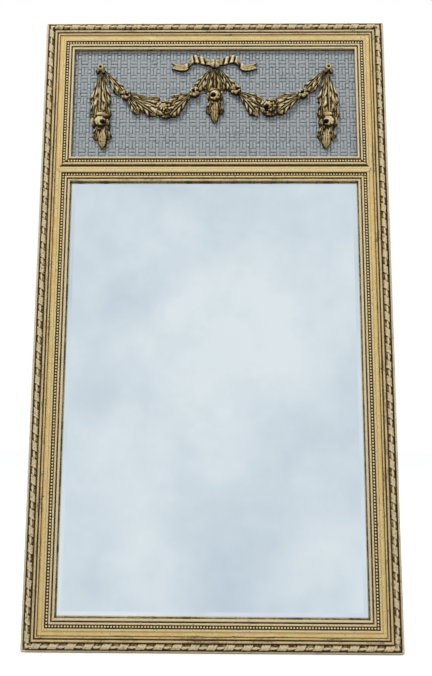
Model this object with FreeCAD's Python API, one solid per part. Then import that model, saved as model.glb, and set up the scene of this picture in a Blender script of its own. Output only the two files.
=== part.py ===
import FreeCAD, Part
import math
import os
from FreeCAD import Vector

# A wall mirror with a tall bevelled glass under an ornamented panel, in one moulded frame.
# Millimetres. X runs to the right, Y towards the wall and Z up. The origin is on the wall,
# at the middle of the frame's width and level with its bottom edge, so the face looks along -Y.
# Heights of the mouldings and layers are counted from the back of the wood towards the viewer.

# ---------------------------------------------------------------- frame
frame_width = 660.0
frame_height = 1170.0
panel_opening_height = 219.4      # sight size of the upper opening
wall_gap = 6.0                    # the bumpers hold the wood this far off the wall

# Moulding of the four outer members, band by band from the outer edge to the sight edge.
outer_fillet_width = 5.0
outer_fillet_height = 17.2
outer_fillet_crown = 1.2
outer_groove_width = 3.0
outer_groove_height = 15.0
ribbon_bed_width = 10.4
ribbon_bed_height = 23.5
quirk_width = 1.9                 # narrow hollow between the ribbon and its fillet
fillet_crown = 0.8
high_fillet_width = 3.5
high_fillet_height = 26.2
middle_groove_width = 2.0
middle_groove_height = 24.6
step_width = 3.2
step_height = 25.6
cove_width = 9.0
cove_edge_height = 25.2
cove_depth = 1.6
inner_fillet_width = 3.7
inner_fillet_height = 24.9
bead_channel_width = 7.0
bead_channel_height = 22.4
sight_side_fillet_width = 3.2
sight_groove_width = 2.5
sight_groove_height = 22.6
sight_fillet_width = 3.6
sight_fillet_height = 23.8
rebate_width = 8.0                # how far glass and panel reach under the lip
rebate_height = 17.0              # the lip's underside

# Cross rail between the panel and the glass, its own bands.
rail_lip_groove_width = 1.4
rail_upper_fillet_width = 4.0
rail_hollow_width = 5.4
rail_hollow_height = 22.8
rail_reed_width = 5.2             # the middle band is two reeds side by side
rail_reed_height = 26.4

# ---------------------------------------------------------------- applied strips
stick_radius = 3.4
ribbon_radius = 5.2
ribbon_pitch = 29.6               # about; a whole number of turns fits each side
ribbon_wrap = 15.5                # length of one ribbon turn along the stick
ribbon_slant = 6.0
bead_radius = 2.2
bead_neck_radius = 0.9
bead_pitch = 5.3                  # about; a whole number of beads fits each side

# ---------------------------------------------------------------- panel and glass
layer_gap = 0.3                   # play of glass and boards in the rebate
weave_thickness = 1.2
panel_board_thickness = 4.0
glass_thickness = 5.0
bevel_width = 26.0
bevel_depth = 2.2
lip_touch = 0.1                   # the lip's edge stands this close to the bevel
silvering_thickness = 0.3
backboard_thickness = 3.0
strip_width = 7.5
strip_height = 8.0
pin_radius = 0.7
pin_length = 16.0
pin_clearance = 0.05
pin_sink = 0.4
pin_inset = 60.0                  # first pin's distance from a strip's end
pin_spacing = 430.0               # at most, between the pins of one strip

# ---------------------------------------------------------------- joinery
dowel_radius = 4.0
dowel_length = 46.0
dowel_spacing = 16.0
dowel_height = 9.0
dowel_clearance = 0.05
dowel_end_gap = 1.0
key_leg = 38.0
key_thickness = 3.0
key_height = 8.0

# ---------------------------------------------------------------- hanging hardware
hanger_drop = 180.0               # hinge line below the top edge
hanger_inset = 25.0               # strap centre from the outer edge
sheet_thickness = 1.0
strap_width = 14.0
strap_length = 50.0
ring_wire_radius = 1.5
ring_clearance = 0.06
ring_bow_radius = 12.0
ring_corner_radius = 4.0
ring_rest_gap = 0.3               # the hanging ring stops this far off its strap
screw_first = 25.0                # distances below the hinge line
screw_spacing = 16.0
screw_head_radius = 3.6
screw_head_height = 2.1
screw_shank_radius = 1.75
screw_length = 16.0
screw_clearance = 0.1
slot_width = 0.9
slot_depth = 0.9
bumper_radius = 6.0
bumper_inset = 18.0

# ---------------------------------------------------------------- ornament
leaf_edge_share = 0.45            # a leaf's rim against its midrib
leaf_widest_share = 0.42          # where a leaf is widest, from its stalk
rose_rim_share = (0.94, 0.55)     # a rose's rim, as shares of its radius and relief
rose_shoulder_share = (0.72, 0.93)
rose_eye_share = 0.3
rose_pit_share = (0.18, 0.62)     # the sunken eye's floor
rose_middle_share = 0.55
ornament_gap = 0.3                # play between neighbouring castings
smallest_casting = 60.0           # volume of the smallest bit of a leaf that is cast

# The ornament is drawn on a grid that fits the panel's opening, as steps across and down. A step is
# about a millimetre. Its places, radii, widths and heights above the panel are counted in steps.
ornament_steps_across = 544
ornament_steps_down = 219.4
drop_rose_radius = 17.0
swag_rose_radius = 18.5
centre_rose_radius = 13.5
flower_radius = 10.6
knot_radius = 10.5
loop_ring_radius = 7.0
loop_hole_radius = 2.6
ribbon_band_width = 15.0
ornament_relief = 9.0             # height of a spray's front leaf above the panel
leaf_relief_step = 0.13           # each leaf behind it stands this much lower
rose_relief = 13.0
flower_relief = 11.5
knot_relief = 13.0
ribbon_band_relief = 7.5
ribbon_band_dip = 2.5

SIDES = {"bottom": 0, "left": 90, "top": 180, "right": 270}
DEEP = 100.0                      # longer than any depth, for cutting through

member_bands = [
    (outer_fillet_width, outer_fillet_height, outer_fillet_crown),
    (outer_groove_width, outer_groove_height, 0),
    (ribbon_bed_width, ribbon_bed_height, 0),
    (quirk_width, ribbon_bed_height, 0),
    (high_fillet_width, high_fillet_height, fillet_crown),
    (middle_groove_width, middle_groove_height, 0),
    (step_width, step_height, fillet_crown / 2),
    (cove_width, cove_edge_height, -cove_depth),
    (inner_fillet_width, inner_fillet_height, fillet_crown),
    (bead_channel_width, bead_channel_height, 0),
    (sight_side_fillet_width, inner_fillet_height, fillet_crown),
    (sight_groove_width, sight_groove_height, 0),
    (sight_fillet_width, sight_fillet_height, fillet_crown),
]
rail_bands = [
    (sight_fillet_width, sight_fillet_height, fillet_crown),
    (rail_lip_groove_width, bead_channel_height, 0),
    (bead_channel_width, bead_channel_height, 0),
    (rail_upper_fillet_width, inner_fillet_height, fillet_crown),
    (rail_hollow_width, rail_hollow_height, 0),
    (rail_reed_width, rail_reed_height, fillet_crown),
    (rail_reed_width, rail_reed_height, fillet_crown),
    (bead_channel_width, bead_channel_height, 0),
    (sight_side_fillet_width, inner_fillet_height, fillet_crown),
    (sight_groove_width, sight_groove_height, 0),
    (sight_fillet_width, sight_fillet_height, fillet_crown),
]
member_width = sum(band[0] for band in member_bands)
rail_width = sum(band[0] for band in rail_bands)

opening_width = frame_width - 2 * member_width
panel_top = frame_height - member_width
panel_bottom = panel_top - panel_opening_height
glass_top = panel_bottom - rail_width
glass_bottom = member_width
rail_middle = panel_bottom - rail_width / 2
panel_rect = (opening_width, panel_bottom, panel_top)
drawing_step = min(opening_width / ornament_steps_across, panel_opening_height / ornament_steps_down)
glass_rect = (opening_width, glass_bottom, glass_top)
frame_rect = (frame_width, 0, frame_height)

# How far outside the sight edge the beads stand, on the members and on the rail's upper side.
bead_offset = sight_fillet_width + sight_groove_width + sight_side_fillet_width + bead_channel_width / 2
rail_bead_offset = sight_fillet_width + rail_lip_groove_width + bead_channel_width / 2

# Layers behind the lip, each height being the layer's front.
panel_front = rebate_height
panel_board_front = panel_front - weave_thickness
panel_board_back = panel_board_front - panel_board_thickness
glass_overlap = rebate_width - layer_gap
bevel_at_lip = bevel_depth * (bevel_width - glass_overlap) / bevel_width
glass_front = rebate_height + bevel_at_lip - lip_touch
glass_back = glass_front - glass_thickness
silvering_back = glass_back - silvering_thickness
backboard_back = silvering_back - backboard_thickness

ring_bore_radius = ring_wire_radius + ring_clearance
sleeve_radius = ring_bore_radius + sheet_thickness
strap_thickness = 2 * sheet_thickness
ring_reach = ring_corner_radius + ring_bow_radius
hinge_z = frame_height - hanger_drop
hanger_x = frame_width / 2 - hanger_inset
hinge_y = sleeve_radius - wall_gap
ring_rise = strap_thickness + ring_rest_gap + ring_wire_radius - sleeve_radius
ring_rest_angle = math.degrees(math.asin(ring_rise / ring_reach))


def depth(height):
    """Y of a height counted from the back of the wood."""
    return -(wall_gap + height)


def prism(points, back, front):
    """Solid over a closed outline of (x, z) points between two heights."""
    wire = Part.makePolygon([Vector(x, depth(back), z) for x, z in points + points[:1]])
    return Part.Face(wire).extrude(Vector(0, back - front, 0))


def block(x0, x1, z0, z1, back, front):
    """Board with its sides along the axes, between two heights."""
    return prism([(x0, z0), (x1, z0), (x1, z1), (x0, z1)], back, front)


def pointing(x, y, z, direction, radius, length):
    """Round rod of one radius from a point along a direction."""
    return Part.makeCylinder(radius, length, Vector(x, y, z), direction)


def joined(shapes):
    """One solid out of touching or overlapping ones."""
    whole = shapes[0] if len(shapes) == 1 else shapes[0].multiFuse(shapes[1:])
    return whole.removeSplitter()


def drilled(shape, tools):
    """A shape less a list of tools."""
    return shape.cut(tools) if tools else shape


def place_side(shape, side, rect):
    """Turn a piece modelled along a bottom side at Z 0 to one side of a rectangle."""
    width, low, high = rect
    middles = {
        "bottom": Vector(0, 0, low),
        "left": Vector(-width / 2, 0, (low + high) / 2),
        "top": Vector(0, 0, high),
        "right": Vector(width / 2, 0, (low + high) / 2),
    }
    placed = shape.copy()
    placed.rotate(Vector(0, 0, 0), Vector(0, 1, 0), SIDES[side])
    placed.translate(middles[side])
    return placed


def side_length(side, rect):
    """Length of one side of a rectangle."""
    width, low, high = rect
    return width if side in ("bottom", "top") else high - low


# ---------------------------------------------------------------- mouldings
def moulding_face(bands, back_points):
    """Cross section in the YZ plane: crowned bands in front, a given outline behind."""
    edges = []
    across = 0.0
    last = None
    for width, height, crown in bands:
        start = Vector(0, depth(height), across)
        end = Vector(0, depth(height), across + width)
        if last is not None and last.distanceToPoint(start) > 1e-6:
            edges.append(Part.LineSegment(last, start).toShape())
        if crown:
            top = Vector(0, depth(height + crown), across + width / 2)
            edges.append(Part.Arc(start, top, end).toShape())
        else:
            edges.append(Part.LineSegment(start, end).toShape())
        last = end
        across += width
    corners = [last] + [Vector(0, depth(h), a) for a, h in back_points]
    corners.append(Vector(0, depth(bands[0][1]), 0))
    for start, end in zip(corners, corners[1:]):
        edges.append(Part.LineSegment(start, end).toShape())
    return Part.Face(Part.Wire(edges))


def mitred_member(length):
    """One outer member along X with its outer edge at Z 0 and both ends cut at 45 degrees."""
    back = [
        (member_width, rebate_height),
        (member_width - rebate_width, rebate_height),
        (member_width - rebate_width, 0),
        (0, 0),
    ]
    bar = moulding_face(member_bands, back).extrude(Vector(length, 0, 0))
    bar.translate(Vector(-length / 2, 0, 0))
    half = length / 2
    room = [(-half, 0), (half, 0), (half - member_width, member_width), (member_width - half, member_width)]
    return bar.common(prism(room, 0, DEEP))


def rail_outline():
    """Outline of the cross rail seen from the front: square sides and pointed ends."""
    half = opening_width / 2
    rise = rail_width / 2
    return [
        (-half - rise, rail_middle), (-half, rail_middle - rise), (half, rail_middle - rise),
        (half + rise, rail_middle), (half, rail_middle + rise), (-half, rail_middle + rise),
    ]


def cross_rail():
    """Rail between the openings, its pointed ends let into the stiles."""
    back = [
        (rail_width, rebate_height),
        (rail_width - rebate_width, rebate_height),
        (rail_width - rebate_width, 0),
        (rebate_width, 0),
        (rebate_width, rebate_height),
        (0, rebate_height),
    ]
    bar = moulding_face(rail_bands, back).extrude(Vector(opening_width + rail_width, 0, 0))
    bar.rotate(Vector(0, 0, 0), Vector(0, 1, 0), 180)
    bar.translate(Vector((opening_width + rail_width) / 2, 0, panel_bottom))
    bar = bar.common(prism(rail_outline(), 0, DEEP))
    return drilled(bar, dowel_holes() + pin_holes())


def outer_member(side):
    """One of the four mitred members with its key slots, notch and holes."""
    bar = place_side(mitred_member(side_length(side, frame_rect)), side, frame_rect)
    tools = corner_keys()
    if side in ("left", "right"):
        tools.append(prism(rail_outline(), 0, DEEP))
        tools += dowel_holes() + screw_holes()
    return drilled(bar, tools + pin_holes())


def corner_keys():
    """Four thin three-cornered slips let into the mitres from outside."""
    half = frame_width / 2
    keys = []
    for sign in (-1, 1):
        for z, turn in ((0, 1), (frame_height, -1)):
            points = [(sign * half, z), (sign * (half - key_leg), z), (sign * half, z + turn * key_leg)]
            keys.append(prism(points, key_height, key_height + key_thickness))
    return keys


def dowels(radius, spare):
    """Dowels across the joints of the cross rail, two at each end."""
    start = opening_width / 2 + rail_width / 4 - dowel_length / 2 - spare
    rods = []
    for sign in (-1, 1):
        for step in (-0.5, 0.5):
            z = rail_middle + step * dowel_spacing
            way = Vector(sign, 0, 0)
            length = dowel_length + 2 * spare
            rods.append(pointing(sign * start, depth(dowel_height), z, way, radius, length))
    return rods


def dowel_holes():
    """Bores for the dowels, a little longer and wider."""
    return dowels(dowel_radius + dowel_clearance, dowel_end_gap)


# ---------------------------------------------------------------- applied strips
def ribbon_strip(side):
    """Half-round stick wound with a slanting ribbon, laid on the bed of one member up to its mitres."""
    middle = outer_fillet_width + outer_groove_width + ribbon_bed_width / 2
    half = side_length(side, frame_rect) / 2
    count = round(2 * (half - middle) / ribbon_pitch)
    pitch = 2 * (half - middle) / count
    bed = depth(ribbon_bed_height)
    top = ribbon_bed_height + ribbon_radius + 1
    stick = pointing(-half, bed, middle, Vector(1, 0, 0), stick_radius, 2 * half)
    wide = pointing(-half, bed, middle, Vector(1, 0, 0), ribbon_radius, 2 * half)
    low = middle - ribbon_radius
    high = middle + ribbon_radius
    lean = ribbon_slant / 2
    turns = []
    for turn in range(count):
        start = (turn - count / 2 + 0.5) * pitch - ribbon_wrap / 2
        outline = [(start - lean, low), (start + ribbon_wrap - lean, low),
                   (start + ribbon_wrap + lean, high), (start + lean, high)]
        turns.append(prism(outline, ribbon_bed_height, top))
    wraps = wide.common(Part.makeCompound(turns))
    room = [(-half, 0), (half, 0), (half - 2 * middle, 2 * middle), (2 * middle - half, 2 * middle)]
    front = stick.common(prism(room, ribbon_bed_height, top))
    return place_side(joined([front] + wraps.Solids), side, frame_rect)


def bead_chain(length):
    """Half beads with thin necks between them along X, flat behind, on the channel's floor."""
    count = round(length / bead_pitch)
    pitch = length / count
    reach = math.sqrt(bead_radius ** 2 - bead_neck_radius ** 2)
    edges = []
    first = Vector(-length / 2, 0, bead_neck_radius)
    last = first
    for bead in range(count):
        middle = (bead - count / 2 + 0.5) * pitch
        start = Vector(middle - reach, 0, bead_neck_radius)
        end = Vector(middle + reach, 0, bead_neck_radius)
        edges.append(Part.LineSegment(last, start).toShape())
        edges.append(Part.Arc(start, Vector(middle, 0, bead_radius), end).toShape())
        last = end
    end = length / 2
    corners = [last, Vector(end, 0, bead_neck_radius), Vector(end, 0, 0), Vector(-end, 0, 0), first]
    for start, end in zip(corners, corners[1:]):
        edges.append(Part.LineSegment(start, end).toShape())
    chain = Part.Face(Part.Wire(edges)).revolve(Vector(0, 0, 0), Vector(1, 0, 0), 180)
    chain.translate(Vector(0, depth(bead_channel_height), 0))
    return chain


def opening_beads(side, rect):
    """The bead chain beside one side of an opening; the upright chains hold the corner beads."""
    on_rail = side == "bottom" and rect is panel_rect
    offset = rail_bead_offset if on_rail else bead_offset
    if side in ("left", "right"):
        low = rail_bead_offset if rect is panel_rect else bead_offset
        length = side_length(side, rect) + low + bead_offset + bead_pitch
        chain = bead_chain(length)
        chain.translate(Vector((low - bead_offset) / 2 * (1 if side == "left" else -1), 0, -offset))
    else:
        ends = 2 * (rail_bead_offset - bead_radius) if on_rail else 2 * (bead_offset - bead_pitch / 2)
        chain = bead_chain(side_length(side, rect) + ends)
        chain.translate(Vector(0, 0, -offset))
    return place_side(chain, side, rect)


# ---------------------------------------------------------------- panel and glass
def rebate_board(rect, back, front):
    """Flat board that fills one rebate with a little play, resting on its lower wall."""
    width, low, high = rect
    half = width / 2 + rebate_width - layer_gap
    return block(-half, half, low - rebate_width, high + rebate_width - 2 * layer_gap, back, front)


def mirror_glass():
    """Glass plate with a wide bevel ground round its front."""
    plate = rebate_board(glass_rect, glass_back, glass_front)
    for side, turn in SIDES.items():
        length = max(frame_width, frame_height)
        edge = glass_overlap if side != "bottom" else rebate_width
        if side == "top":
            edge = rebate_width - 2 * layer_gap
        points = [
            Vector(-length, depth(glass_front), bevel_width - edge),
            Vector(-length, depth(glass_front - bevel_depth), -edge),
            Vector(-length, depth(glass_front - bevel_depth), -edge - 1),
            Vector(-length, depth(glass_front + 1), -edge - 1),
            Vector(-length, depth(glass_front + 1), bevel_width - edge),
        ]
        wedge = Part.Face(Part.makePolygon(points + points[:1])).extrude(Vector(2 * length, 0, 0))
        plate = plate.cut(place_side(wedge, side, glass_rect))
    return plate


def strip_layout(rect, board_back):
    """Wooden strips round one rebate that hold its boards, as (side, length, board_back)."""
    return [(side, side_length(side, rect) + 2 * rebate_width - (0 if side in ("left", "right") else
             2 * strip_width), board_back) for side in SIDES]


def strips(rect, board_back):
    """The four holding strips of one rebate, drilled for their pins."""
    solids = []
    for side, length, back in strip_layout(rect, board_back):
        inner = strip_width - rebate_width
        bar = block(-length / 2, length / 2, -rebate_width, inner, back - strip_height, back)
        solids.append(place_side(bar, side, rect))
    return drilled(Part.makeCompound(solids), pin_holes())


def pins(radius, length, shown):
    """Panel pins driven through the strips into the frame."""
    rods = []
    for rect, board_back in ((panel_rect, panel_board_back), (glass_rect, backboard_back)):
        for side, length_of_strip, back in strip_layout(rect, board_back):
            reach = length_of_strip / 2 - pin_inset
            count = math.ceil(2 * reach / pin_spacing) + 1
            for pin in range(count):
                u = -reach + 2 * reach * pin / (count - 1)
                head = strip_width - rebate_width - pin_sink + shown
                y = depth(back - strip_height / 2)
                rod = pointing(u, y, head, Vector(0, 0, -1), radius, length + shown)
                rods.append(place_side(rod, side, rect))
    return rods


def pin_holes():
    """Bores for the panel pins."""
    return pins(pin_radius + pin_clearance, pin_length + pin_sink, pin_sink + 1)


# ---------------------------------------------------------------- hanging hardware
def screw_centres():
    """Centres of the hanger screws, as (x, z)."""
    heights = [hinge_z - screw_first - step * screw_spacing for step in (0, 1)]
    return [(sign * hanger_x, z) for sign in (-1, 1) for z in heights]


def screw_holes():
    """Pilot bores of the hanger screws in the stiles."""
    depth_of_hole = screw_length - strap_thickness + 1
    return [pointing(x, -wall_gap, z, Vector(0, -1, 0), screw_shank_radius + pin_clearance, depth_of_hole)
            for x, z in screw_centres()]


def hanger_strap(sign):
    """Folded strap with a rolled eye for the ring's straight side."""
    x = sign * hanger_x
    half = strap_width / 2
    plate = block(x - half, x + half, hinge_z - strap_length, hinge_z, 0, -strap_thickness)
    eye = pointing(x - half, hinge_y, hinge_z, Vector(1, 0, 0), sleeve_radius, strap_width)
    bore = pointing(x - half, hinge_y, hinge_z, Vector(1, 0, 0), ring_bore_radius, strap_width)
    end = pointing(x, -wall_gap, hinge_z - strap_length, Vector(0, 1, 0), half, strap_thickness)
    room = screw_shank_radius + screw_clearance
    holes = [pointing(screw_x, -wall_gap, screw_z, Vector(0, 1, 0), room, strap_thickness)
             for screw_x, screw_z in screw_centres()]
    return drilled(joined([plate, eye, end]), [bore] + holes)


def hanger_ring(sign):
    """D-shaped wire ring, hanging down from its strap's eye."""
    x = sign * hanger_x
    reach = ring_bow_radius - ring_corner_radius
    bend = ring_corner_radius * (1 - math.sqrt(0.5))
    far = ring_bow_radius - bend
    z = hinge_z
    low = z - ring_corner_radius
    corner_right = Vector(x + far, hinge_y, z - bend)
    corner_left = Vector(x - far, hinge_y, z - bend)
    points = [Vector(x - reach, hinge_y, z), Vector(x + reach, hinge_y, z),
              Vector(x + ring_bow_radius, hinge_y, low), Vector(x, hinge_y, low - ring_bow_radius),
              Vector(x - ring_bow_radius, hinge_y, low)]
    path = Part.Wire([
        Part.LineSegment(points[0], points[1]).toShape(),
        Part.Arc(points[1], corner_right, points[2]).toShape(),
        Part.Arc(points[2], points[3], points[4]).toShape(),
        Part.Arc(points[4], corner_left, points[0]).toShape(),
    ])
    section = Part.Wire(Part.makeCircle(ring_wire_radius, points[0], Vector(1, 0, 0)))
    ring = path.makePipeShell([section], True, False)
    ring.rotate(Vector(x, hinge_y, hinge_z), Vector(1, 0, 0), ring_rest_angle)
    return ring


def hanger_screws():
    """Pan-head screws through the straps, each with a driver slot."""
    solids = []
    for x, z in screw_centres():
        top = strap_thickness - wall_gap
        shank = pointing(x, top, z, Vector(0, -1, 0), screw_shank_radius, screw_length)
        head = pointing(x, top, z, Vector(0, 1, 0), screw_head_radius, screw_head_height)
        back = -strap_thickness - screw_head_height
        slot = block(x - screw_head_radius, x + screw_head_radius, z - slot_width / 2, z + slot_width / 2,
                     back - 1, back + slot_depth)
        solids.append(joined([shank, head]).cut(slot))
    return Part.makeCompound(solids)


def wall_bumpers():
    """Four soft discs behind the corners that keep the frame off the wall."""
    x = frame_width / 2 - bumper_inset
    heights = (bumper_inset, frame_height - bumper_inset)
    return Part.makeCompound([pointing(sign * x, -wall_gap, z, Vector(0, 1, 0), bumper_radius, wall_gap)
                              for sign in (-1, 1) for z in heights])


# ---------------------------------------------------------------- ornament
def drawn(x, drop, lift=0.0):
    """Point above the panel from a place on the ornament's grid, counted down from the sight edge."""
    return Vector(x * drawing_step, depth(panel_front + lift * drawing_step), panel_top - drop * drawing_step)


def leaf(x, drop, turn, length_in_steps, width_in_steps, relief_in_steps):
    """Pointed leaf with a midrib, from its stalk towards an angle counted from straight down."""
    length = length_in_steps * drawing_step
    width = width_in_steps * drawing_step
    relief = relief_in_steps * drawing_step
    widest = -leaf_widest_share * length
    base = Vector(0, depth(panel_front), 0)
    tip = Vector(0, depth(panel_front), -length)
    right = Vector(width / 2, depth(panel_front), widest)
    left = Vector(-width / 2, depth(panel_front), widest)
    outline = Part.Wire([Part.Arc(base, right, tip).toShape(), Part.Arc(tip, left, base).toShape()])
    blade = Part.Face(outline).extrude(Vector(0, -relief, 0))
    eaves = depth(panel_front + 2 * leaf_edge_share * relief - relief)
    floor = depth(panel_front)
    roof = [Vector(-width, floor, 1), Vector(width, floor, 1), Vector(width, eaves, 1),
            Vector(0, depth(panel_front + relief), 1), Vector(-width, eaves, 1)]
    ridge = Part.Face(Part.makePolygon(roof + roof[:1])).extrude(Vector(0, 0, -length - 2))
    blade = blade.common(ridge)
    blade.rotate(Vector(0, 0, 0), Vector(0, 1, 0), -turn)
    blade.translate(Vector(x * drawing_step, 0, panel_top - drop * drawing_step))
    return blade


def spray(leaves, mirrored=False):
    """Overlapping leaves grown into one casting, the last in front; a mirrored one swaps left and right."""
    sign = -1 if mirrored else 1
    blades = []
    for layer, (x, drop, turn, length, width) in enumerate(reversed(leaves)):
        relief = ornament_relief - layer * leaf_relief_step
        blades.append(leaf(sign * x, drop, sign * turn, length, width, relief))
    return joined(blades)


def rose(x, drop, radius_in_steps, relief_in_steps=rose_relief):
    """Open flower: a low dome with a rolled rim round a sunken eye."""
    radius = radius_in_steps * drawing_step
    relief = relief_in_steps * drawing_step
    rim, shoulder, pit = [Vector(across * radius, -up * relief, 0)
                          for across, up in (rose_rim_share, rose_shoulder_share, rose_pit_share)]
    points = [Vector(radius, 0, 0), rim, Vector(rose_eye_share * radius, -relief, 0), pit,
              Vector(0, -rose_middle_share * relief, 0), Vector(0, 0, 0)]
    edges = [
        Part.LineSegment(points[0], points[1]).toShape(),
        Part.Arc(points[1], shoulder, points[2]).toShape(),
        Part.LineSegment(points[2], points[3]).toShape(),
        Part.LineSegment(points[3], points[4]).toShape(),
        Part.LineSegment(points[4], points[5]).toShape(),
        Part.LineSegment(points[5], points[0]).toShape(),
    ]
    bloom = Part.Face(Part.Wire(edges)).revolve(Vector(0, 0, 0), Vector(0, 1, 0), 360)
    bloom.translate(drawn(x, drop))
    return bloom


def upright(x, drop, radius_in_steps, height, play=0.0):
    """Round rod of a height in millimetres that stands on the panel."""
    return Part.makeCylinder(radius_in_steps * drawing_step + play, height, drawn(x, drop), Vector(0, -1, 0))


def clear_of(x, drop, radius_in_steps):
    """Round room for a flower with a little play, for cutting the leaves under it."""
    return upright(x, drop, radius_in_steps, DEEP, ornament_gap)


def loop_ring(sign):
    """Small eye that a drop and a swag hang from."""
    x, drop = hook_place
    height = ornament_relief * drawing_step
    disc = upright(sign * x, drop, loop_ring_radius, height)
    return disc.cut(upright(sign * x, drop, loop_hole_radius, height))


def folded_section(sign):
    """Room under the bow's folds, as high as the panel's opening."""
    last = bow_first_fold + bow_fold_step * (len(bow_fold_rises) - 1)
    low = ribbon_band_relief - ribbon_band_dip
    folds = [drawn(sign * (bow_first_fold + bow_fold_step * fold), ornament_steps_down,
                   low + ribbon_band_dip * rise) for fold, rise in enumerate(bow_fold_rises)]
    far = drawn(sign * last, ornament_steps_down)
    near = drawn(sign * bow_first_fold, ornament_steps_down)
    ripple = Part.BSplineCurve()
    ripple.interpolate(folds)
    section = Part.Face(Part.Wire([
        ripple.toShape(),
        Part.LineSegment(folds[-1], far).toShape(),
        Part.LineSegment(far, near).toShape(),
        Part.LineSegment(near, folds[0]).toShape(),
    ]))
    return section.extrude(Vector(0, 0, panel_opening_height))


def bow_ribbon(sign):
    """Rippled ribbon from the knot out to a swallow-tailed end."""
    half = Vector(0, 0, ribbon_band_width * drawing_step / 2)
    centre = [drawn(sign * x, drop) for x, drop in bow_path]
    upper = [point + half for point in centre]
    lower = [point - half for point in reversed(centre)]
    notch = drawn(sign * bow_notch_place[0], bow_notch_place[1])
    upper_edge = Part.BSplineCurve()
    upper_edge.interpolate(upper)
    lower_edge = Part.BSplineCurve()
    lower_edge.interpolate(lower)
    band = Part.Face(Part.Wire([
        upper_edge.toShape(),
        Part.LineSegment(upper[-1], notch).toShape(),
        Part.LineSegment(notch, lower[0]).toShape(),
        lower_edge.toShape(),
        Part.LineSegment(lower[-1], upper[0]).toShape(),
    ]))
    ribbon = band.extrude(Vector(0, -ribbon_band_relief * drawing_step, 0)).common(folded_section(sign))
    return ribbon.cut(clear_of(*knot_place, knot_radius))


# Places of the ornaments on the grid: steps right of the middle, and down from the panel's sight edge.
hook_place = (220.5, 37)
knot_place = (1.5, 29)
drop_rose_place = (217.5, 148)
swag_rose_places = {-1: (-93, 125), 1: (107, 119)}
centre_rose_place = (1.5, 92)
flower_places = {-1: [(-171.5, 92), (-37, 86)], 1: [(173, 90), (43, 80)]}
bow_path = [(8.5, 28.5), (18, 24.5), (29, 21.5), (40, 21), (46.5, 26), (52, 34), (63, 37), (82, 36.5)]
bow_notch_place = (74, 36.5)
bow_first_fold = 6
bow_fold_step = 10
bow_fold_rises = [0, 1, 0, 1, 0, 1, 0, 1, 0.4]

# Leaves on the same grid: right, down, angle from straight down with right positive, length, width.
drop_leaves = [
    (-222, 58, -7, 62, 20), (-215, 58, 8, 60, 19), (-219, 43, 0, 92, 29),
    (-229, 100, -5, 44, 14), (-208, 100, 6, 40, 14), (-225, 148, -8, 36, 15),
    (-209, 148, 8, 36, 15), (-216, 160, 0, 40, 16),
]
left_swag_leaves = [
    (-213, 46, 33, 58, 15), (-215, 41, 39, 68, 18), (-150, 102, 66, 64, 26),
    (-118, 122, 82, 36, 26), (-164, 95, 80, 36, 12), (-142, 107, 98, 38, 13),
    (-165, 97, 54, 66, 21), (-168, 98, 33, 42, 17), (-46, 92, -60, 60, 22),
    (-43, 90, -72, 46, 14), (-44, 92, -42, 62, 22), (-12, 44, -22, 38, 13), (-6, 39, -35, 54, 20),
]
right_swag_leaves = [
    (215, 44, -34, 54, 14), (218, 39, -43, 68, 18), (160, 100, -66, 52, 25),
    (162, 94, -80, 44, 13), (168, 96, -54, 62, 21), (52, 92, 62, 46, 24),
    (46, 88, 70, 52, 17), (47, 90, 38, 56, 20), (14, 44, 22, 38, 13), (10, 39, 34, 54, 19),
]
centre_leaves = [
    (-5, 42, -14, 44, 13), (7, 42, 14, 44, 13), (-4, 98, -22, 34, 17), (6, 98, 22, 34, 17),
    (1, 100, 0, 50, 17), (13, 76, 12, 26, 9), (-10, 78, -10, 18, 8),
]


def flower_rooms(sign):
    """Rooms for the flowers and the eye that one side's leaves meet."""
    x, drop = hook_place
    rose_x, rose_drop = swag_rose_places[sign]
    rooms = [clear_of(sign * x, drop, loop_ring_radius), clear_of(rose_x, rose_drop, swag_rose_radius)]
    rooms += [clear_of(fx, fd, flower_radius) for fx, fd in flower_places[sign]]
    return rooms + [clear_of(*knot_place, knot_radius)]


def drop_spray(sign):
    """Leaves of one hanging drop with room for its eye and rose."""
    x, drop = drop_rose_place
    rooms = [clear_of(sign * hook_place[0], hook_place[1], loop_ring_radius)]
    rooms.append(clear_of(sign * x, drop, drop_rose_radius))
    return drilled(spray(drop_leaves, mirrored=sign > 0), rooms)


def centre_spray():
    """Leaves of the short middle drop."""
    return drilled(spray(centre_leaves), [clear_of(*knot_place, knot_radius),
                                          clear_of(*centre_rose_place, centre_rose_radius)])


def largest(shape):
    """Keep the solids of a shape that are worth casting and drop cut-off slivers."""
    return Part.makeCompound([solid for solid in shape.Solids if solid.Volume > smallest_casting])


def swag_spray(sign, others):
    """Leaves of one swag, kept clear of the drops beside it."""
    leaves = left_swag_leaves if sign < 0 else right_swag_leaves
    return drilled(spray(leaves), flower_rooms(sign) + others)


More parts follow.
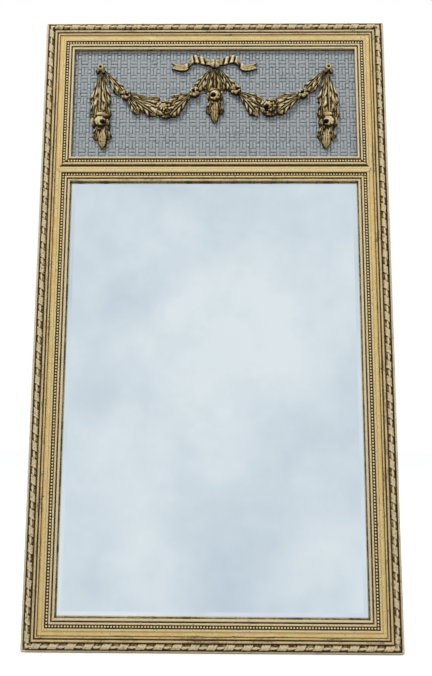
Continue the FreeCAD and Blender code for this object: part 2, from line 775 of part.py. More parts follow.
def ornament_nodes():
    """Every casting of the panel's ornament by its name."""
    nodes = {}
    names = {-1: "left", 1: "right"}
    nodes["drop_leaves_centre"] = centre_spray()
    for sign, name in names.items():
        x, drop = drop_rose_place
        nodes["drop_leaves_" + name] = drop_spray(sign)
        nodes["drop_rose_" + name] = rose(sign * x, drop, drop_rose_radius)
        nodes["swag_rose_" + name] = rose(*swag_rose_places[sign], swag_rose_radius)
        nodes["bow_ribbon_" + name] = bow_ribbon(sign)
        nodes["hanging_eye_" + name] = loop_ring(sign)
    for sign, name in names.items():
        others = [nodes["drop_leaves_" + name], nodes["drop_leaves_centre"], nodes["bow_ribbon_" + name]]
        nodes["swag_leaves_" + name] = swag_spray(sign, others)
        flowers = [rose(x, drop, flower_radius, flower_relief) for x, drop in flower_places[sign]]
        nodes["swag_flowers_" + name] = Part.makeCompound(flowers)
    nodes["drop_rose_centre"] = rose(*centre_rose_place, centre_rose_radius)
    nodes["bow_knot"] = rose(*knot_place, knot_radius, knot_relief)
    return {name: largest(shape) for name, shape in nodes.items()}


def all_nodes():
    """Every sub-part by its name."""
    nodes = {
        "stile_left": outer_member("left"),
        "stile_right": outer_member("right"),
        "rail_top": outer_member("top"),
        "rail_bottom": outer_member("bottom"),
        "cross_rail": cross_rail(),
        "corner_keys": Part.makeCompound(corner_keys()),
        "cross_rail_dowels": Part.makeCompound(dowels(dowel_radius, 0)),
        "weave_sheet": rebate_board(panel_rect, panel_board_front, panel_front),
        "panel_board": rebate_board(panel_rect, panel_board_back, panel_board_front),
        "mirror_glass": mirror_glass(),
        "mirror_silvering": rebate_board(glass_rect, silvering_back, glass_back),
        "mirror_backboard": rebate_board(glass_rect, backboard_back, silvering_back),
        "panel_strips": strips(panel_rect, panel_board_back),
        "mirror_strips": strips(glass_rect, backboard_back),
        "strip_pins": Part.makeCompound(pins(pin_radius, pin_length, 0)),
        "hanger_strap_left": hanger_strap(-1),
        "hanger_strap_right": hanger_strap(1),
        "hanger_ring_left": hanger_ring(-1),
        "hanger_ring_right": hanger_ring(1),
        "hanger_screws": hanger_screws(),
        "wall_bumpers": wall_bumpers(),
    }
    for side in SIDES:
        nodes["ribbon_strip_" + side] = ribbon_strip(side)
        nodes["panel_beads_" + side] = opening_beads(side, panel_rect)
        nodes["mirror_beads_" + side] = opening_beads(side, glass_rect)
    nodes.update(ornament_nodes())
    return nodes


def main():
    """Write one STEP file per sub-part."""
    os.makedirs("parts", exist_ok=True)
    for name, shape in all_nodes().items():
        shape.exportStep("parts/" + name + ".step")
        print(name, len(shape.Solids), round(shape.Volume), shape.isValid())


main()
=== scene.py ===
"""Looks of a tall wall mirror: gilt frame, woven panel with swags and roses, bevelled glass.

Sizes are in millimetres until a mesh is finished. X runs to the right, Y into the wall and Z up.
Heights are counted from the back of the wood towards the viewer. Drops are counted downwards, for the
weave from the top of the frame and for the ornament from the top of the panel in sight.
"""

import logging
import math
from dataclasses import dataclass, field
from enum import Enum
from typing import Callable, Iterable, Sequence

import bmesh
import bpy
from mathutils import Matrix, Vector, noise


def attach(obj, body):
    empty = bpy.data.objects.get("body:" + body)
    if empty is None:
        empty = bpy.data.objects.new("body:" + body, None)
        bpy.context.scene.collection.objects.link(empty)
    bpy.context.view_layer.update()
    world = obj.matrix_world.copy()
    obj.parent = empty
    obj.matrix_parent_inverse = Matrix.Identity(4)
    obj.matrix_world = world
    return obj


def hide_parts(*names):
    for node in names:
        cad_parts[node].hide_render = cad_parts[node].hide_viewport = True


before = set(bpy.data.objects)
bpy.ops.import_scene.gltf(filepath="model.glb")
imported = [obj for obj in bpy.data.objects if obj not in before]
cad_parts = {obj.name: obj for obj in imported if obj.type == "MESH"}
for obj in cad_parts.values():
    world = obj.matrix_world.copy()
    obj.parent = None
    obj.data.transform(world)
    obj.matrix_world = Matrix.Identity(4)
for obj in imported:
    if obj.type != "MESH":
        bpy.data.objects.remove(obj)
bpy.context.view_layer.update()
log = logging.getLogger("mirror")

MM = 0.001
WELD = 1e-3
FINE_WELD = 1e-4
WIDTH = 660.0
HEIGHT = 1170.0
WALL_GAP = 6.0
BODY = "frame"

Colour = tuple[float, float, float, float]
Point = tuple[float, float]
WHITE: Colour = (1.0, 1.0, 1.0, 1.0)


class Side(Enum):
    """Sides of a rectangle, with the turn that takes a bottom side there."""

    BOTTOM = 0
    LEFT = 90
    TOP = 180
    RIGHT = 270


class Mark(Enum):
    """Values kept on the points of a mesh for the finishes to read."""

    # The wear mark also carries painted light: low values give painted shade in hollows, creases, feet and
    # walls, high values painted highlights on crowns.
    WEAR_AND_SHADING = "wear_and_shading"
    TONE = "tone"


def tint(red: int, green: int, blue: int) -> Colour:
    """Turn a colour as seen on screen into the linear one that shaders use.

    Args:
        red: red from 0 to 255.
        green: green from 0 to 255.
        blue: blue from 0 to 255.

    Returns:
        The linear colour with full alpha.
    """
    parts = [(part / 255 / 12.92) if part < 11 else ((part / 255 + 0.055) / 1.055) ** 2.4
             for part in (red, green, blue)]
    return (parts[0], parts[1], parts[2], 1.0)


def depth(height: float) -> float:
    """Y of a height counted from the back of the wood."""
    return -(WALL_GAP + height)


def smooth(low: float, high: float, value: float) -> float:
    """Ease a value to a share: 0 at the low end of its range and 1 at the high end."""
    share = min(1.0, max(0.0, (value - low) / (high - low)))
    return share * share * (3 - 2 * share)


# ---------------------------------------------------------------- finishes
Socket = bpy.types.NodeSocket
Groups = dict[str, bpy.types.NodeTree]


class Graph:
    """Short hand for building a tree of shader nodes."""

    def __init__(self, tree: bpy.types.NodeTree) -> None:
        """Keep the tree that nodes are added to."""
        self.tree = tree

    def feed(self, socket: Socket, value: object) -> None:
        """Link a socket to another, or set its own value.

        Args:
            socket: input to feed.
            value: output socket, number, colour or vector.
        """
        if isinstance(value, Socket):
            self.tree.links.new(value, socket)
        else:
            socket.default_value = value

    def node(self, kind: str, inputs: dict | None = None, **settings: object) -> bpy.types.Node:
        """Add one node.

        Args:
            kind: node type.
            inputs: values or links by input name or number.
            settings: the node's own settings.

        Returns:
            The node.
        """
        made = self.tree.nodes.new(kind)
        for name, value in settings.items():
            setattr(made, name, value)
        for name, value in (inputs or {}).items():
            self.feed(made.inputs[name], value)
        return made

    def mix(self, factor: object, first: object, second: object) -> Socket:
        """Mix two colours.

        Args:
            factor: share of the second colour.
            first: first colour.
            second: second colour.

        Returns:
            The mixed colour's socket.
        """
        made = self.node("ShaderNodeMix", data_type="RGBA")
        for number, value in ((0, factor), (6, first), (7, second)):
            self.feed(made.inputs[number], value)
        return made.outputs[2]

    def maths(self, operation: str, first: object, second: object, clamp: bool = False) -> Socket:
        """Combine two numbers, held between 0 and 1 if wanted."""
        made = self.node("ShaderNodeMath", {0: first, 1: second}, operation=operation, use_clamp=clamp)
        return made.outputs[0]

    def span(self, value: object, low: float, high: float, out_low: float = 0.0,
             out_high: float = 1.0) -> Socket:
        """Stretch a range of numbers to another, held at both ends."""
        inputs = {"Value": value, "From Min": low, "From Max": high, "To Min": out_low, "To Max": out_high}
        return self.node("ShaderNodeMapRange", inputs).outputs["Result"]

    def noise(self, vector: object, scale: object, detail: float = 3.0, rough: float = 0.55) -> Socket:
        """Soft noise from a number of repeats per metre, octaves and the share of the finer ones."""
        inputs = {"Vector": vector, "Scale": scale, "Detail": detail, "Roughness": rough}
        return self.node("ShaderNodeTexNoise", inputs).outputs["Fac"]


class Paint(Graph):
    """Nodes of one material round its main shader."""

    def __init__(self, name: str) -> None:
        """Start a material.

        Args:
            name: the material's name.
        """
        self.material = bpy.data.materials.new(name)
        self.material.use_nodes = True
        super().__init__(self.material.node_tree)
        self.shader = next(node for node in self.tree.nodes if node.type == "BSDF_PRINCIPLED")

    def put(self, label: str, value: object) -> None:
        """Link one of the shader's inputs, or set its own value."""
        self.feed(self.shader.inputs[label], value)

    def place(self) -> Socket:
        """Coordinates of a point in the object's own space."""
        return self.node("ShaderNodeTexCoord").outputs["Object"]

    def mark(self, mark: Mark) -> Socket:
        """Value kept on the mesh's points."""
        return self.node("ShaderNodeAttribute", attribute_name=mark.value).outputs["Fac"]

    def bump(self, height: Socket, strength: float, distance: float) -> None:
        """Give the shader small relief, its real height in metres."""
        made = self.node("ShaderNodeBump", {"Height": height, "Strength": strength, "Distance": distance})
        self.put("Normal", made.outputs["Normal"])


def new_group(name: str, inputs: dict[str, str],
              outputs: Sequence[str]) -> tuple[Graph, bpy.types.Node, bpy.types.Node]:
    """Start a node group.

    Args:
        name: the group's name.
        inputs: kind of socket by name, for what goes in.
        outputs: names of the numbers that come out.

    Returns:
        The group's graph, its input node and its output node.
    """
    tree = bpy.data.node_groups.new(name, "ShaderNodeTree")
    for label, kind in inputs.items():
        tree.interface.new_socket(name=label, in_out="INPUT", socket_type="NodeSocket" + kind)
    for label in outputs:
        tree.interface.new_socket(name=label, in_out="OUTPUT", socket_type="NodeSocketFloat")
    graph = Graph(tree)
    return graph, graph.node("NodeGroupInput"), graph.node("NodeGroupOutput")


@dataclass(frozen=True)
class AgeingAndShading:
    """How a point's wear and painted shading and three noises make dirt with painted shade, rubbing with
    painted highlights, and chips.
    """

    # Wear below the even level darkens as dirt and painted shade; above it, it brightens as rubbing and
    # painted highlight.
    even_wear_and_shading: float = 0.5
    hollow_dirt_and_shade: float = 2.3
    ridge_rub_and_highlight: float = 1.9
    cloud_dirt: tuple[float, ...] = (0.35, 0.7, -0.22, 0.34)
    speck_dirt: tuple[float, ...] = (0.42, 0.66, -0.12, 0.36)
    streak_dirt: tuple[float, ...] = (0.46, 0.66, -0.12, 0.52)
    cloud_rub: tuple[float, ...] = (0.3, 0.72, -0.2, 0.35)
    streak_scale: float = 0.75
    chip_scale: float = 1.7
    chip_cloud: float = 0.35
    chip_range: Point = (0.80, 0.87)
    speck_relief: float = 0.6
    chip_relief: float = -0.5

    def build(self) -> bpy.types.NodeTree:
        """Masks of old leaf: dirt and painted shade in the hollows, rubbing and painted highlights on the
        ridges, chips and grain.

        Returns:
            The node group.
        """
        wants = {"Vector": "Vector", "Stretch": "Vector", "Wear_and_shading": "Float", "Cloud": "Float",
                 "Speck": "Float", "Dirt_and_shade": "Float", "Chips": "Float"}
        graph, come, go = new_group("old_gilding_masks", wants, ["Grime_and_shade", "Rub", "Chip", "Relief"])
        vector, stretch, wear_and_shading, clouds, specks, dirt_and_shade, chips = [come.outputs[label] for label in wants]
        cloud = graph.noise(vector, clouds, 5.0, 0.6)
        speck = graph.noise(vector, specks, 3.0, 0.65)
        drawn_out = graph.node("ShaderNodeVectorMath", {0: vector, 1: stretch}, operation="MULTIPLY")
        streaks = graph.maths("MULTIPLY", specks, self.streak_scale)
        streak = graph.noise(drawn_out.outputs[0], streaks, 4.0, 0.6)
        # Low wear marks hollows, creases, feet and walls: the dark it gives is partly dirt, partly painted
        # shade.
        grime_and_shade = graph.maths("MULTIPLY", graph.maths("SUBTRACT", self.even_wear_and_shading, wear_and_shading), self.hollow_dirt_and_shade)
        spreads = self.cloud_dirt, self.speck_dirt, self.streak_dirt
        for pattern, spread in zip((cloud, speck, streak), spreads):
            grime_and_shade = graph.maths("ADD", grime_and_shade, graph.span(pattern, *spread))
        grime_and_shade = graph.maths("MULTIPLY", grime_and_shade, dirt_and_shade, clamp=True)
        # High wear marks crowns and crests: the bright it gives is partly rubbing, partly painted highlight.
        rub_and_highlight = graph.maths("MULTIPLY", graph.maths("SUBTRACT", wear_and_shading, self.even_wear_and_shading), self.ridge_rub_and_highlight)
        rub_and_highlight = graph.maths("ADD", rub_and_highlight, graph.span(cloud, *self.cloud_rub), clamp=True)
        fine = graph.noise(vector, graph.maths("MULTIPLY", specks, self.chip_scale), 2.0, 0.6)
        flaking = graph.maths("ADD", fine, graph.maths("MULTIPLY", cloud, self.chip_cloud))
        chip = graph.maths("MULTIPLY", graph.span(flaking, *self.chip_range), chips, clamp=True)
        relief = graph.maths("ADD", graph.maths("MULTIPLY", speck, self.speck_relief),
                             graph.maths("MULTIPLY", chip, self.chip_relief))
        for label, value in (("Grime_and_shade", grime_and_shade), ("Rub", rub_and_highlight), ("Chip", chip), ("Relief", relief)):
            graph.feed(go.inputs[label], value)
        return graph.tree


def build_grain_group() -> bpy.types.NodeTree:
    """Wood grain along the X of the given coordinates.

    Returns:
        The node group.
    """
    graph, come, go = new_group("wood_grain", {"Vector": "Vector", "Rings": "Float"}, ["Grain", "Pores"])
    vector, rings = come.outputs["Vector"], come.outputs["Rings"]
    stretched = graph.node("ShaderNodeMapping", {"Vector": vector, "Scale": (0.06, 1.0, 1.0)}).outputs[0]
    bands = graph.noise(stretched, rings, 4.0, 0.6)
    pores = graph.noise(stretched, graph.maths("MULTIPLY", rings, 9.0), 2.0, 0.7)
    graph.feed(go.inputs["Grain"], graph.span(bands, 0.3, 0.7))
    graph.feed(go.inputs["Pores"], graph.span(pores, 0.52, 0.68))
    return graph.tree


@dataclass(frozen=True)
class OldLeaf:
    """Old metal leaf; gold and silver share how their ageing and painted shading are spread."""

    name: str
    rough: float = 0.42
    dirty_rough: float = 0.72
    relief: Point = (0.35, 0.0004)
    cloud: float = 46.0
    speck: float = 270.0
    # The dirt strength scales the dirt and the painted shade together.
    dirt_and_shade: float = 1.0
    chips: float = 0.7
    stretch: tuple[float, float, float] = (1.0, 1.0, 1.0)

    def aged(self, groups: Groups) -> tuple[Paint, dict[str, Socket]]:
        """Start the material with its ageing and painted shading, roughness and relief.

        Args:
            groups: shared node groups by name.

        Returns:
            The material's nodes and the sockets of the masks by name.
        """
        paint = Paint(self.name)
        group = paint.node("ShaderNodeGroup", node_tree=groups["ageing"])
        values = {"Vector": paint.place(), "Stretch": self.stretch, "Wear_and_shading": paint.mark(Mark.WEAR_AND_SHADING),
                  "Cloud": self.cloud, "Speck": self.speck, "Dirt_and_shade": self.dirt_and_shade, "Chips": self.chips}
        for label, value in values.items():
            paint.feed(group.inputs[label], value)
        masks = {socket.name: socket for socket in group.outputs}
        paint.put("Roughness", paint.span(masks["Grime_and_shade"], 0.0, 1.0, self.rough, self.dirty_rough))
        paint.bump(masks["Relief"], *self.relief)
        return paint, masks


@dataclass(frozen=True)
class Gilding(OldLeaf):
    """Old gilding over brown size, rubbed and given painted highlights on the ridges, dirty and in painted
    shade in the hollows.
    """

    bright: Colour = tint(236, 213, 149)
    warm: Colour = tint(204, 164, 92)
    pale: Colour = tint(226, 212, 178)
    deep: Colour = tint(80, 58, 22)
    chip: Colour = tint(104, 70, 32)
    metal: float = 0.5
    gloss: float = 0.2

    def build(self, groups: Groups) -> bpy.types.Material:
        """Make the material.

        Args:
            groups: shared node groups by name.

        Returns:
            The material.
        """
        paint, masks = self.aged(groups)
        # The rub mask brings in the bright colour, partly rubbing and partly painted highlight; the grime
        # mask brings in the deep colour, partly dirt and partly painted shade.
        colour = paint.mix(masks["Rub"], self.warm, self.bright)
        colour = paint.mix(paint.mark(Mark.TONE), colour, self.pale)
        colour = paint.mix(masks["Chip"], colour, self.chip)
        paint.put("Base Color", paint.mix(masks["Grime_and_shade"], colour, self.deep))
        paint.put("Metallic", paint.span(masks["Grime_and_shade"], 0.0, 0.9, self.metal, 0.0))
        paint.put("Specular IOR Level", self.gloss)
        return paint.material


@dataclass(frozen=True)
class Silvered(OldLeaf):
    """Dull silver leaf with a faint blue cast, in painted shade between the woven strips."""

    rough: float = 0.5
    dirty_rough: float = 0.7
    relief: Point = (0.3, 0.0003)
    cloud: float = 30.0
    speck: float = 330.0
    dirt_and_shade: float = 0.75
    chips: float = 0.4
    bright: Colour = tint(176, 181, 180)
    mid: Colour = tint(154, 158, 158)
    deep: Colour = tint(80, 84, 85)
    metal: float = 0.25

    def build(self, groups: Groups) -> bpy.types.Material:
        """Make the material.

        Args:
            groups: shared node groups by name.

        Returns:
            The material.
        """
        paint, masks = self.aged(groups)
        colour = paint.mix(masks["Rub"], self.mid, self.bright)
        colour = paint.mix(masks["Chip"], colour, self.deep)
        # The grime mask brings in the deep colour: dirt, and painted shade between the strips.
        paint.put("Base Color", paint.mix(masks["Grime_and_shade"], colour, self.deep))
        paint.put("Metallic", self.metal)
        return paint.material


@dataclass(frozen=True)
class Mirror:
    """Silvered glass seen from the front, with a trace of haze."""

    name: str
    clear: Colour = tint(238, 244, 246)
    hazy: Colour = tint(226, 236, 240)
    repeats: float = 7.0
    haze_colour: tuple[float, ...] = (0.35, 0.75, 0.0, 0.35)
    haze_rough: tuple[float, ...] = (0.3, 0.8, 0.004, 0.02)

    def build(self, groups: Groups) -> bpy.types.Material:
        """Make the material.

        Args:
            groups: shared node groups by name; it needs none.

        Returns:
            The material.
        """
        paint = Paint(self.name)
        haze = paint.noise(paint.place(), self.repeats, 4.0)
        paint.put("Base Color", paint.mix(paint.span(haze, *self.haze_colour), self.clear, self.hazy))
        paint.put("Metallic", 1.0)
        paint.put("Roughness", paint.span(haze, *self.haze_rough))
        return paint.material


@dataclass(frozen=True)
class Speckled:
    """Plain surface that wavers between two close colours, with small relief."""

    name: str
    first: Colour
    second: Colour
    noise: tuple[float, ...]
    rough: float
    relief: Point
    sheen: float = 0.0

    def build(self, groups: Groups) -> bpy.types.Material:
        """Make the material.

        Args:
            groups: shared node groups by name; it needs none.

        Returns:
            The material.
        """
        paint = Paint(self.name)
        speck = paint.noise(paint.place(), *self.noise)
        paint.put("Base Color", paint.mix(speck, self.first, self.second))
        paint.put("Roughness", self.rough)
        paint.put("Sheen Weight", self.sheen)
        paint.bump(speck, *self.relief)
        return paint.material


@dataclass(frozen=True)
class BareWood:
    """Plain wood with its grain along one axis."""

    name: str
    light: Colour
    dark: Colour
    upright: bool = False
    rings: float = 60.0
    stain: float = 9.0
    stain_range: tuple[float, ...] = (0.5, 0.75, 0.0, 0.45)
    pore_dark: float = 0.5
    rough: Point = (0.62, 0.8)
    relief: Point = (0.35, -0.0003)

    def build(self, groups: Groups) -> bpy.types.Material:
        """Make the material.

        Args:
            groups: shared node groups by name.

        Returns:
            The material.
        """
        paint = Paint(self.name)
        turn = (0.0, math.radians(90) if self.upright else 0.0, 0.0)
        turned = paint.node("ShaderNodeMapping", {"Vector": paint.place(), "Rotation": turn}).outputs[0]
        group = paint.node("ShaderNodeGroup", node_tree=groups["grain"])
        paint.feed(group.inputs["Vector"], turned)
        paint.feed(group.inputs["Rings"], self.rings)
        grain, pores = group.outputs["Grain"], group.outputs["Pores"]
        stain = paint.span(paint.noise(paint.place(), self.stain, 4.0), *self.stain_range)
        colour = self.light
        for share in (grain, paint.maths("MULTIPLY", pores, self.pore_dark), stain):
            colour = paint.mix(share, colour, self.dark)
        paint.put("Base Color", colour)
        paint.put("Roughness", paint.span(grain, 0.0, 1.0, *self.rough))
        paint.bump(pores, *self.relief)
        return paint.material


@dataclass(frozen=True)
class PlatedSteel:
    """Zinc-plated steel, slightly dulled and scuffed."""

    name: str
    bright: Colour = tint(196, 192, 180)
    dull: Colour = tint(140, 132, 112)
    patches: float = 190.0
    scuffs: float = 1500.0
    metal: float = 0.9
    rough: tuple[float, ...] = (0.3, 0.7, 0.26, 0.5)
    relief: Point = (0.15, 0.0001)

    def build(self, groups: Groups) -> bpy.types.Material:
        """Make the material.

        Args:
            groups: shared node groups by name; it needs none.

        Returns:
            The material.
        """
        paint = Paint(self.name)
        patch = paint.noise(paint.place(), self.patches, 4.0, 0.6)
        scuff = paint.noise(paint.place(), self.scuffs, 2.0, 0.6)
        paint.put("Base Color", paint.mix(paint.span(patch, 0.4, 0.68), self.bright, self.dull))
        paint.put("Metallic", self.metal)
        paint.put("Roughness", paint.span(scuff, *self.rough))
        paint.bump(scuff, *self.relief)
        return paint.material


class Finishes:
    """Every finish of the mirror, built once."""

    def __init__(self) -> None:
        """Build the shared groups and the materials."""
        groups = {"ageing": AgeingAndShading().build(), "grain": build_grain_group()}
        pine = tint(150, 112, 70), tint(96, 66, 38)
        plans = {
            "upright_moulding": Gilding("gilt_upright_moulding", stretch=(1.0, 1.0, 0.12)),
            "level_moulding": Gilding("gilt_level_moulding", stretch=(0.12, 1.0, 1.0)),
            "ribbon": Gilding("gilt_ribbon", bright=tint(234, 216, 170), warm=tint(204, 172, 112),
                              deep=tint(86, 64, 30), cloud=60.0),
            "beads": Gilding("gilt_beads", bright=tint(248, 230, 180), warm=tint(206, 170, 104),
                             deep=tint(70, 48, 18)),
            "ornament": Gilding("gilt_ornament", bright=tint(255, 244, 204), warm=tint(182, 154, 102),
                                deep=tint(40, 29, 12), dirt_and_shade=1.3, cloud=90.0, speck=300.0, metal=0.6,
                                rough=0.32),
            "weave": Silvered("silvered_weave"),
            "mirror": Mirror("silvered_glass"),
            "glass_edge": Speckled("ground_glass_edge", tint(120, 168, 156), tint(176, 206, 198),
                                   (900.0, 2.0), 0.35, (0.3, 0.0002)),
            "upright_wood": BareWood("old_pine_upright", *pine, upright=True),
            "level_wood": BareWood("old_pine_level", *pine),
            "strip_wood": BareWood("new_pine", tint(214, 176, 122), tint(170, 126, 78), rings=110.0),
            "board": BareWood("backing_board", tint(136, 96, 60), tint(104, 70, 42), rings=24.0),
            "key_wood": BareWood("oak_key", tint(120, 82, 48), tint(74, 48, 28), rings=150.0),
            "steel": PlatedSteel("plated_steel"),
            "felt": Speckled("dark_felt", tint(34, 30, 28), tint(74, 66, 58), (1400.0, 4.0, 0.75), 0.95,
                             (0.8, 0.0006), sheen=0.4),
            "back_paint": Speckled("mirror_back_paint", tint(112, 96, 88), tint(136, 122, 112),
                                   (14.0, 5.0, 0.6), 0.7, (0.2, 0.0003)),
        }
        self.made = {label: plan.build(groups) for label, plan in plans.items()}

    def __getitem__(self, label: str) -> bpy.types.Material:
        """Material by its short label."""
        return self.made[label]


# ---------------------------------------------------------------- mesh helpers
def new_mesh() -> bmesh.types.BMesh:
    """Start a mesh with room for its marks.

    Returns:
        The empty mesh.
    """
    bm = bmesh.new()
    for mark in Mark:
        bm.verts.layers.float.new(mark.value)
    return bm


def set_mark(bm: bmesh.types.BMesh, mark: Mark, value: Callable[[Vector], float]) -> None:
    """Give every point a value.

    Args:
        bm: the mesh.
        mark: which value.
        value: the value from the point's place.
    """
    layer = bm.verts.layers.float[mark.value]
    for vert in bm.verts:
        vert[layer] = value(vert.co)


def make_piece(name: str, bm: bmesh.types.BMesh, materials: Iterable[bpy.types.Material],
               nodes: Sequence[str] = (), crease: float = 34.0) -> bpy.types.Object:
    """Turn a mesh in millimetres into a finished piece that rides on the frame.

    Args:
        name: the piece's name.
        bm: the mesh, used up.
        materials: materials in slot order.
        nodes: CAD nodes that the piece stands for.
        crease: edges bent more than this many degrees stay sharp.

    Returns:
        The object.
    """
    bmesh.ops.scale(bm, vec=(MM, MM, MM), verts=bm.verts)
    mesh = bpy.data.meshes.new(name)
    bm.to_mesh(mesh)
    bm.free()
    mesh.shade_smooth()
    mesh.set_sharp_from_angle(angle=math.radians(crease))
    piece = bpy.data.objects.new(name, mesh)
    bpy.context.scene.collection.objects.link(piece)
    for material in materials:
        mesh.materials.append(material)
    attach(piece, BODY)
    if nodes:
        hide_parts(*nodes)
    triangles = sum(len(face.vertices) - 2 for face in mesh.polygons)
    log.info("%s: %d triangles", name, triangles)
    return piece


def cut_off(bm: bmesh.types.BMesh, point: Vector, outward: Vector, close: bool = True) -> None:
    """Cut away what lies beyond a plane.

    Args:
        bm: the mesh.
        point: a point of the plane.
        outward: direction of what goes.
        close: close the cut with a face.
    """
    done = bmesh.ops.bisect_plane(bm, geom=bm.verts[:] + bm.edges[:] + bm.faces[:], dist=FINE_WELD,
                                  plane_co=point, plane_no=outward, clear_outer=True)
    rim = [item for item in done["geom_cut"] if isinstance(item, bmesh.types.BMEdge)]
    if close and rim:
        bmesh.ops.edgeloop_fill(bm, edges=rim)


def turn_to_side(bm: bmesh.types.BMesh, side: Side, width: float, low: float, high: float) -> None:
    """Move a mesh made along a bottom side at Z 0 to one side of a rectangle.

    Args:
        bm: the mesh.
        side: which side.
        width: the rectangle's width.
        low: Z of its bottom.
        high: Z of its top.
    """
    middles = {
        Side.BOTTOM: (0, 0, low),
        Side.LEFT: (-width / 2, 0, (low + high) / 2),
        Side.TOP: (0, 0, high),
        Side.RIGHT: (width / 2, 0, (low + high) / 2),
    }
    turn = Matrix.Rotation(math.radians(side.value), 4, "Y")
    bmesh.ops.transform(bm, matrix=Matrix.Translation(middles[side]) @ turn, verts=bm.verts)


def stamp(bm: bmesh.types.BMesh, template: bpy.types.Mesh, moves: Iterable[Matrix]) -> None:
    """Put copies of a small mesh into a larger one.

    Args:
        bm: the larger mesh.
        template: the small mesh, left as it was.
        moves: where each copy goes.
    """
    for move in moves:
        template.transform(move)
        bm.from_mesh(template)
        template.transform(move.inverted())


def as_template(bm: bmesh.types.BMesh, name: str) -> bpy.types.Mesh:
    """Turn a mesh that is being made into one that can be copied.

    Args:
        bm: the mesh, used up.
        name: its name.

    Returns:
        The mesh.
    """
    mesh = bpy.data.meshes.new(name)
    bm.to_mesh(mesh)
    bm.free()
    return mesh


def join(bm: bmesh.types.BMesh, other: bmesh.types.BMesh) -> None:
    """Put one mesh into another and use it up.

    Args:
        bm: the mesh that grows.
        other: the mesh that goes into it.
    """
    mesh = as_template(other, "part")
    bm.from_mesh(mesh)
    bpy.data.meshes.remove(mesh)


def relief_patch(across: int, along: int,
                 put: Callable[[float, float], tuple[Vector, float]]) -> bmesh.types.BMesh:
    """Lay a square grid onto a carved surface.

    Args:
        across: steps across.
        along: steps along.
        put: place and wear with painted shading from the share along, 0 to 1, and the place across, -1 to 1.

    Returns:
        The mesh.
    """
    bm = new_mesh()
    layer = bm.verts.layers.float[Mark.WEAR_AND_SHADING.value]
    for vert in bmesh.ops.create_grid(bm, x_segments=across, y_segments=along, size=1.0)["verts"]:
        vert.co, vert[layer] = put((vert.co.y + 1) / 2, vert.co.x)
    return bm


def close_down(bm: bmesh.types.BMesh, height: float, draw_in: float = 0.0) -> None:
    """Drop the rim of a relief to a flat ground and close it underneath.

    Args:
        bm: the mesh.
        height: height of the ground.
        draw_in: how far the foot lies inside the rim.
    """
    layer = bm.verts.layers.float[Mark.WEAR_AND_SHADING.value]
    centre = sum((vert.co for vert in bm.verts), Vector()) / len(bm.verts)
    made = bmesh.ops.extrude_edge_only(bm, edges=[edge for edge in bm.edges if edge.is_boundary])["geom"]
    for vert in made:
        if isinstance(vert, bmesh.types.BMVert):
            inward = Vector((centre.x - vert.co.x, 0, centre.z - vert.co.z))
            if inward.length > 1e-6:
                vert.co += inward.normalized() * draw_in
            vert.co.y = depth(height)
            # The foot is marked fully dark, a painted shade where the relief meets the ground.
            vert[layer] = 0.0
    bmesh.ops.edgeloop_fill(bm, edges=[edge for edge in bm.edges if edge.is_boundary])
    bmesh.ops.remove_doubles(bm, verts=bm.verts, dist=WELD)
    bmesh.ops.recalc_face_normals(bm, faces=bm.faces)


# ---------------------------------------------------------------- mouldings
ARRIS = 0.38
OUTER_ARRIS = 0.85
BAND_SLACK = 0.45
# Painted shade in each cove: darker over its outer part and in a thin line at its inner end.
COVE_PAINTED_SHADE = (0.3, 0.55)


@dataclass(frozen=True)
class Band:
    """One band of a moulding's face, from the outer edge inwards."""

    width: float
    height: float
    crown: float
    wear_and_shading: float
    tone: float

    def top(self, share: float) -> float:
        """Height at a share of the width; the crown is a low arch, or a hollow if it is below 0."""
        return self.height + self.crown * (1 - (2 * share - 1) ** 2)


# Edge bands by side. Their wear and tone differ by side as painted light and shade: the top rail's fillet is
# marked dark and the bottom rail's outer rounding darker, as painted shade.
STILE_EDGE = (
    Band(0.9, 17.0, 0.0, 0.52, 0.85),
    Band(3.2, 17.4, 0.7, 0.66, 0.9),
    Band(0.9, 17.4, 0.1, 0.15, 0.2),
)
EDGE_BANDS = {
    Side.LEFT: STILE_EDGE,
    Side.RIGHT: STILE_EDGE,
    Side.BOTTOM: (
        Band(1.3, 17.0, 0.0, 0.12, 0.3),
        Band(2.9, 17.4, 0.7, 0.64, 0.85),
        Band(0.8, 17.4, 0.1, 0.15, 0.1),
    ),
    Side.TOP: (
        Band(1.2, 17.0, 0.0, 0.5, 0.6),
        Band(2.4, 17.4, 0.7, 0.16, 0.2),
        Band(1.4, 17.4, 0.1, 0.0, 0.0),
    ),
}
# Low wear in the grooves, the ribbon's bed and the bead channel is partly dirt, partly painted shade; high
# wear on the fillets and beads is partly rubbing, partly painted highlight.
FACE_BANDS = (
    Band(3.0, 15.0, 0.0, 0.02, 0.0),
    Band(10.4, 23.5, 0.0, 0.06, 0.0),
    Band(1.9, 23.5, 0.0, 0.04, 0.0),
    Band(3.5, 26.2, 0.8, 0.56, 0.5),
    Band(2.6, 24.2, 0.0, 0.0, 0.0),
    Band(2.9, 25.6, 0.6, 0.56, 0.45),
    Band(1.3, 24.2, 0.0, 0.0, 0.0),
    Band(7.4, 25.2, -1.4, 0.82, 0.0),
    Band(3.7, 25.1, 0.9, 0.78, 0.35),
    Band(7.0, 22.4, 0.0, 0.02, 0.0),
    Band(3.2, 24.9, 0.8, 0.8, 0.6),
    Band(2.5, 22.6, 0.0, 0.04, 0.0),
    Band(3.6, 23.8, 0.8, 0.78, 0.75),
)
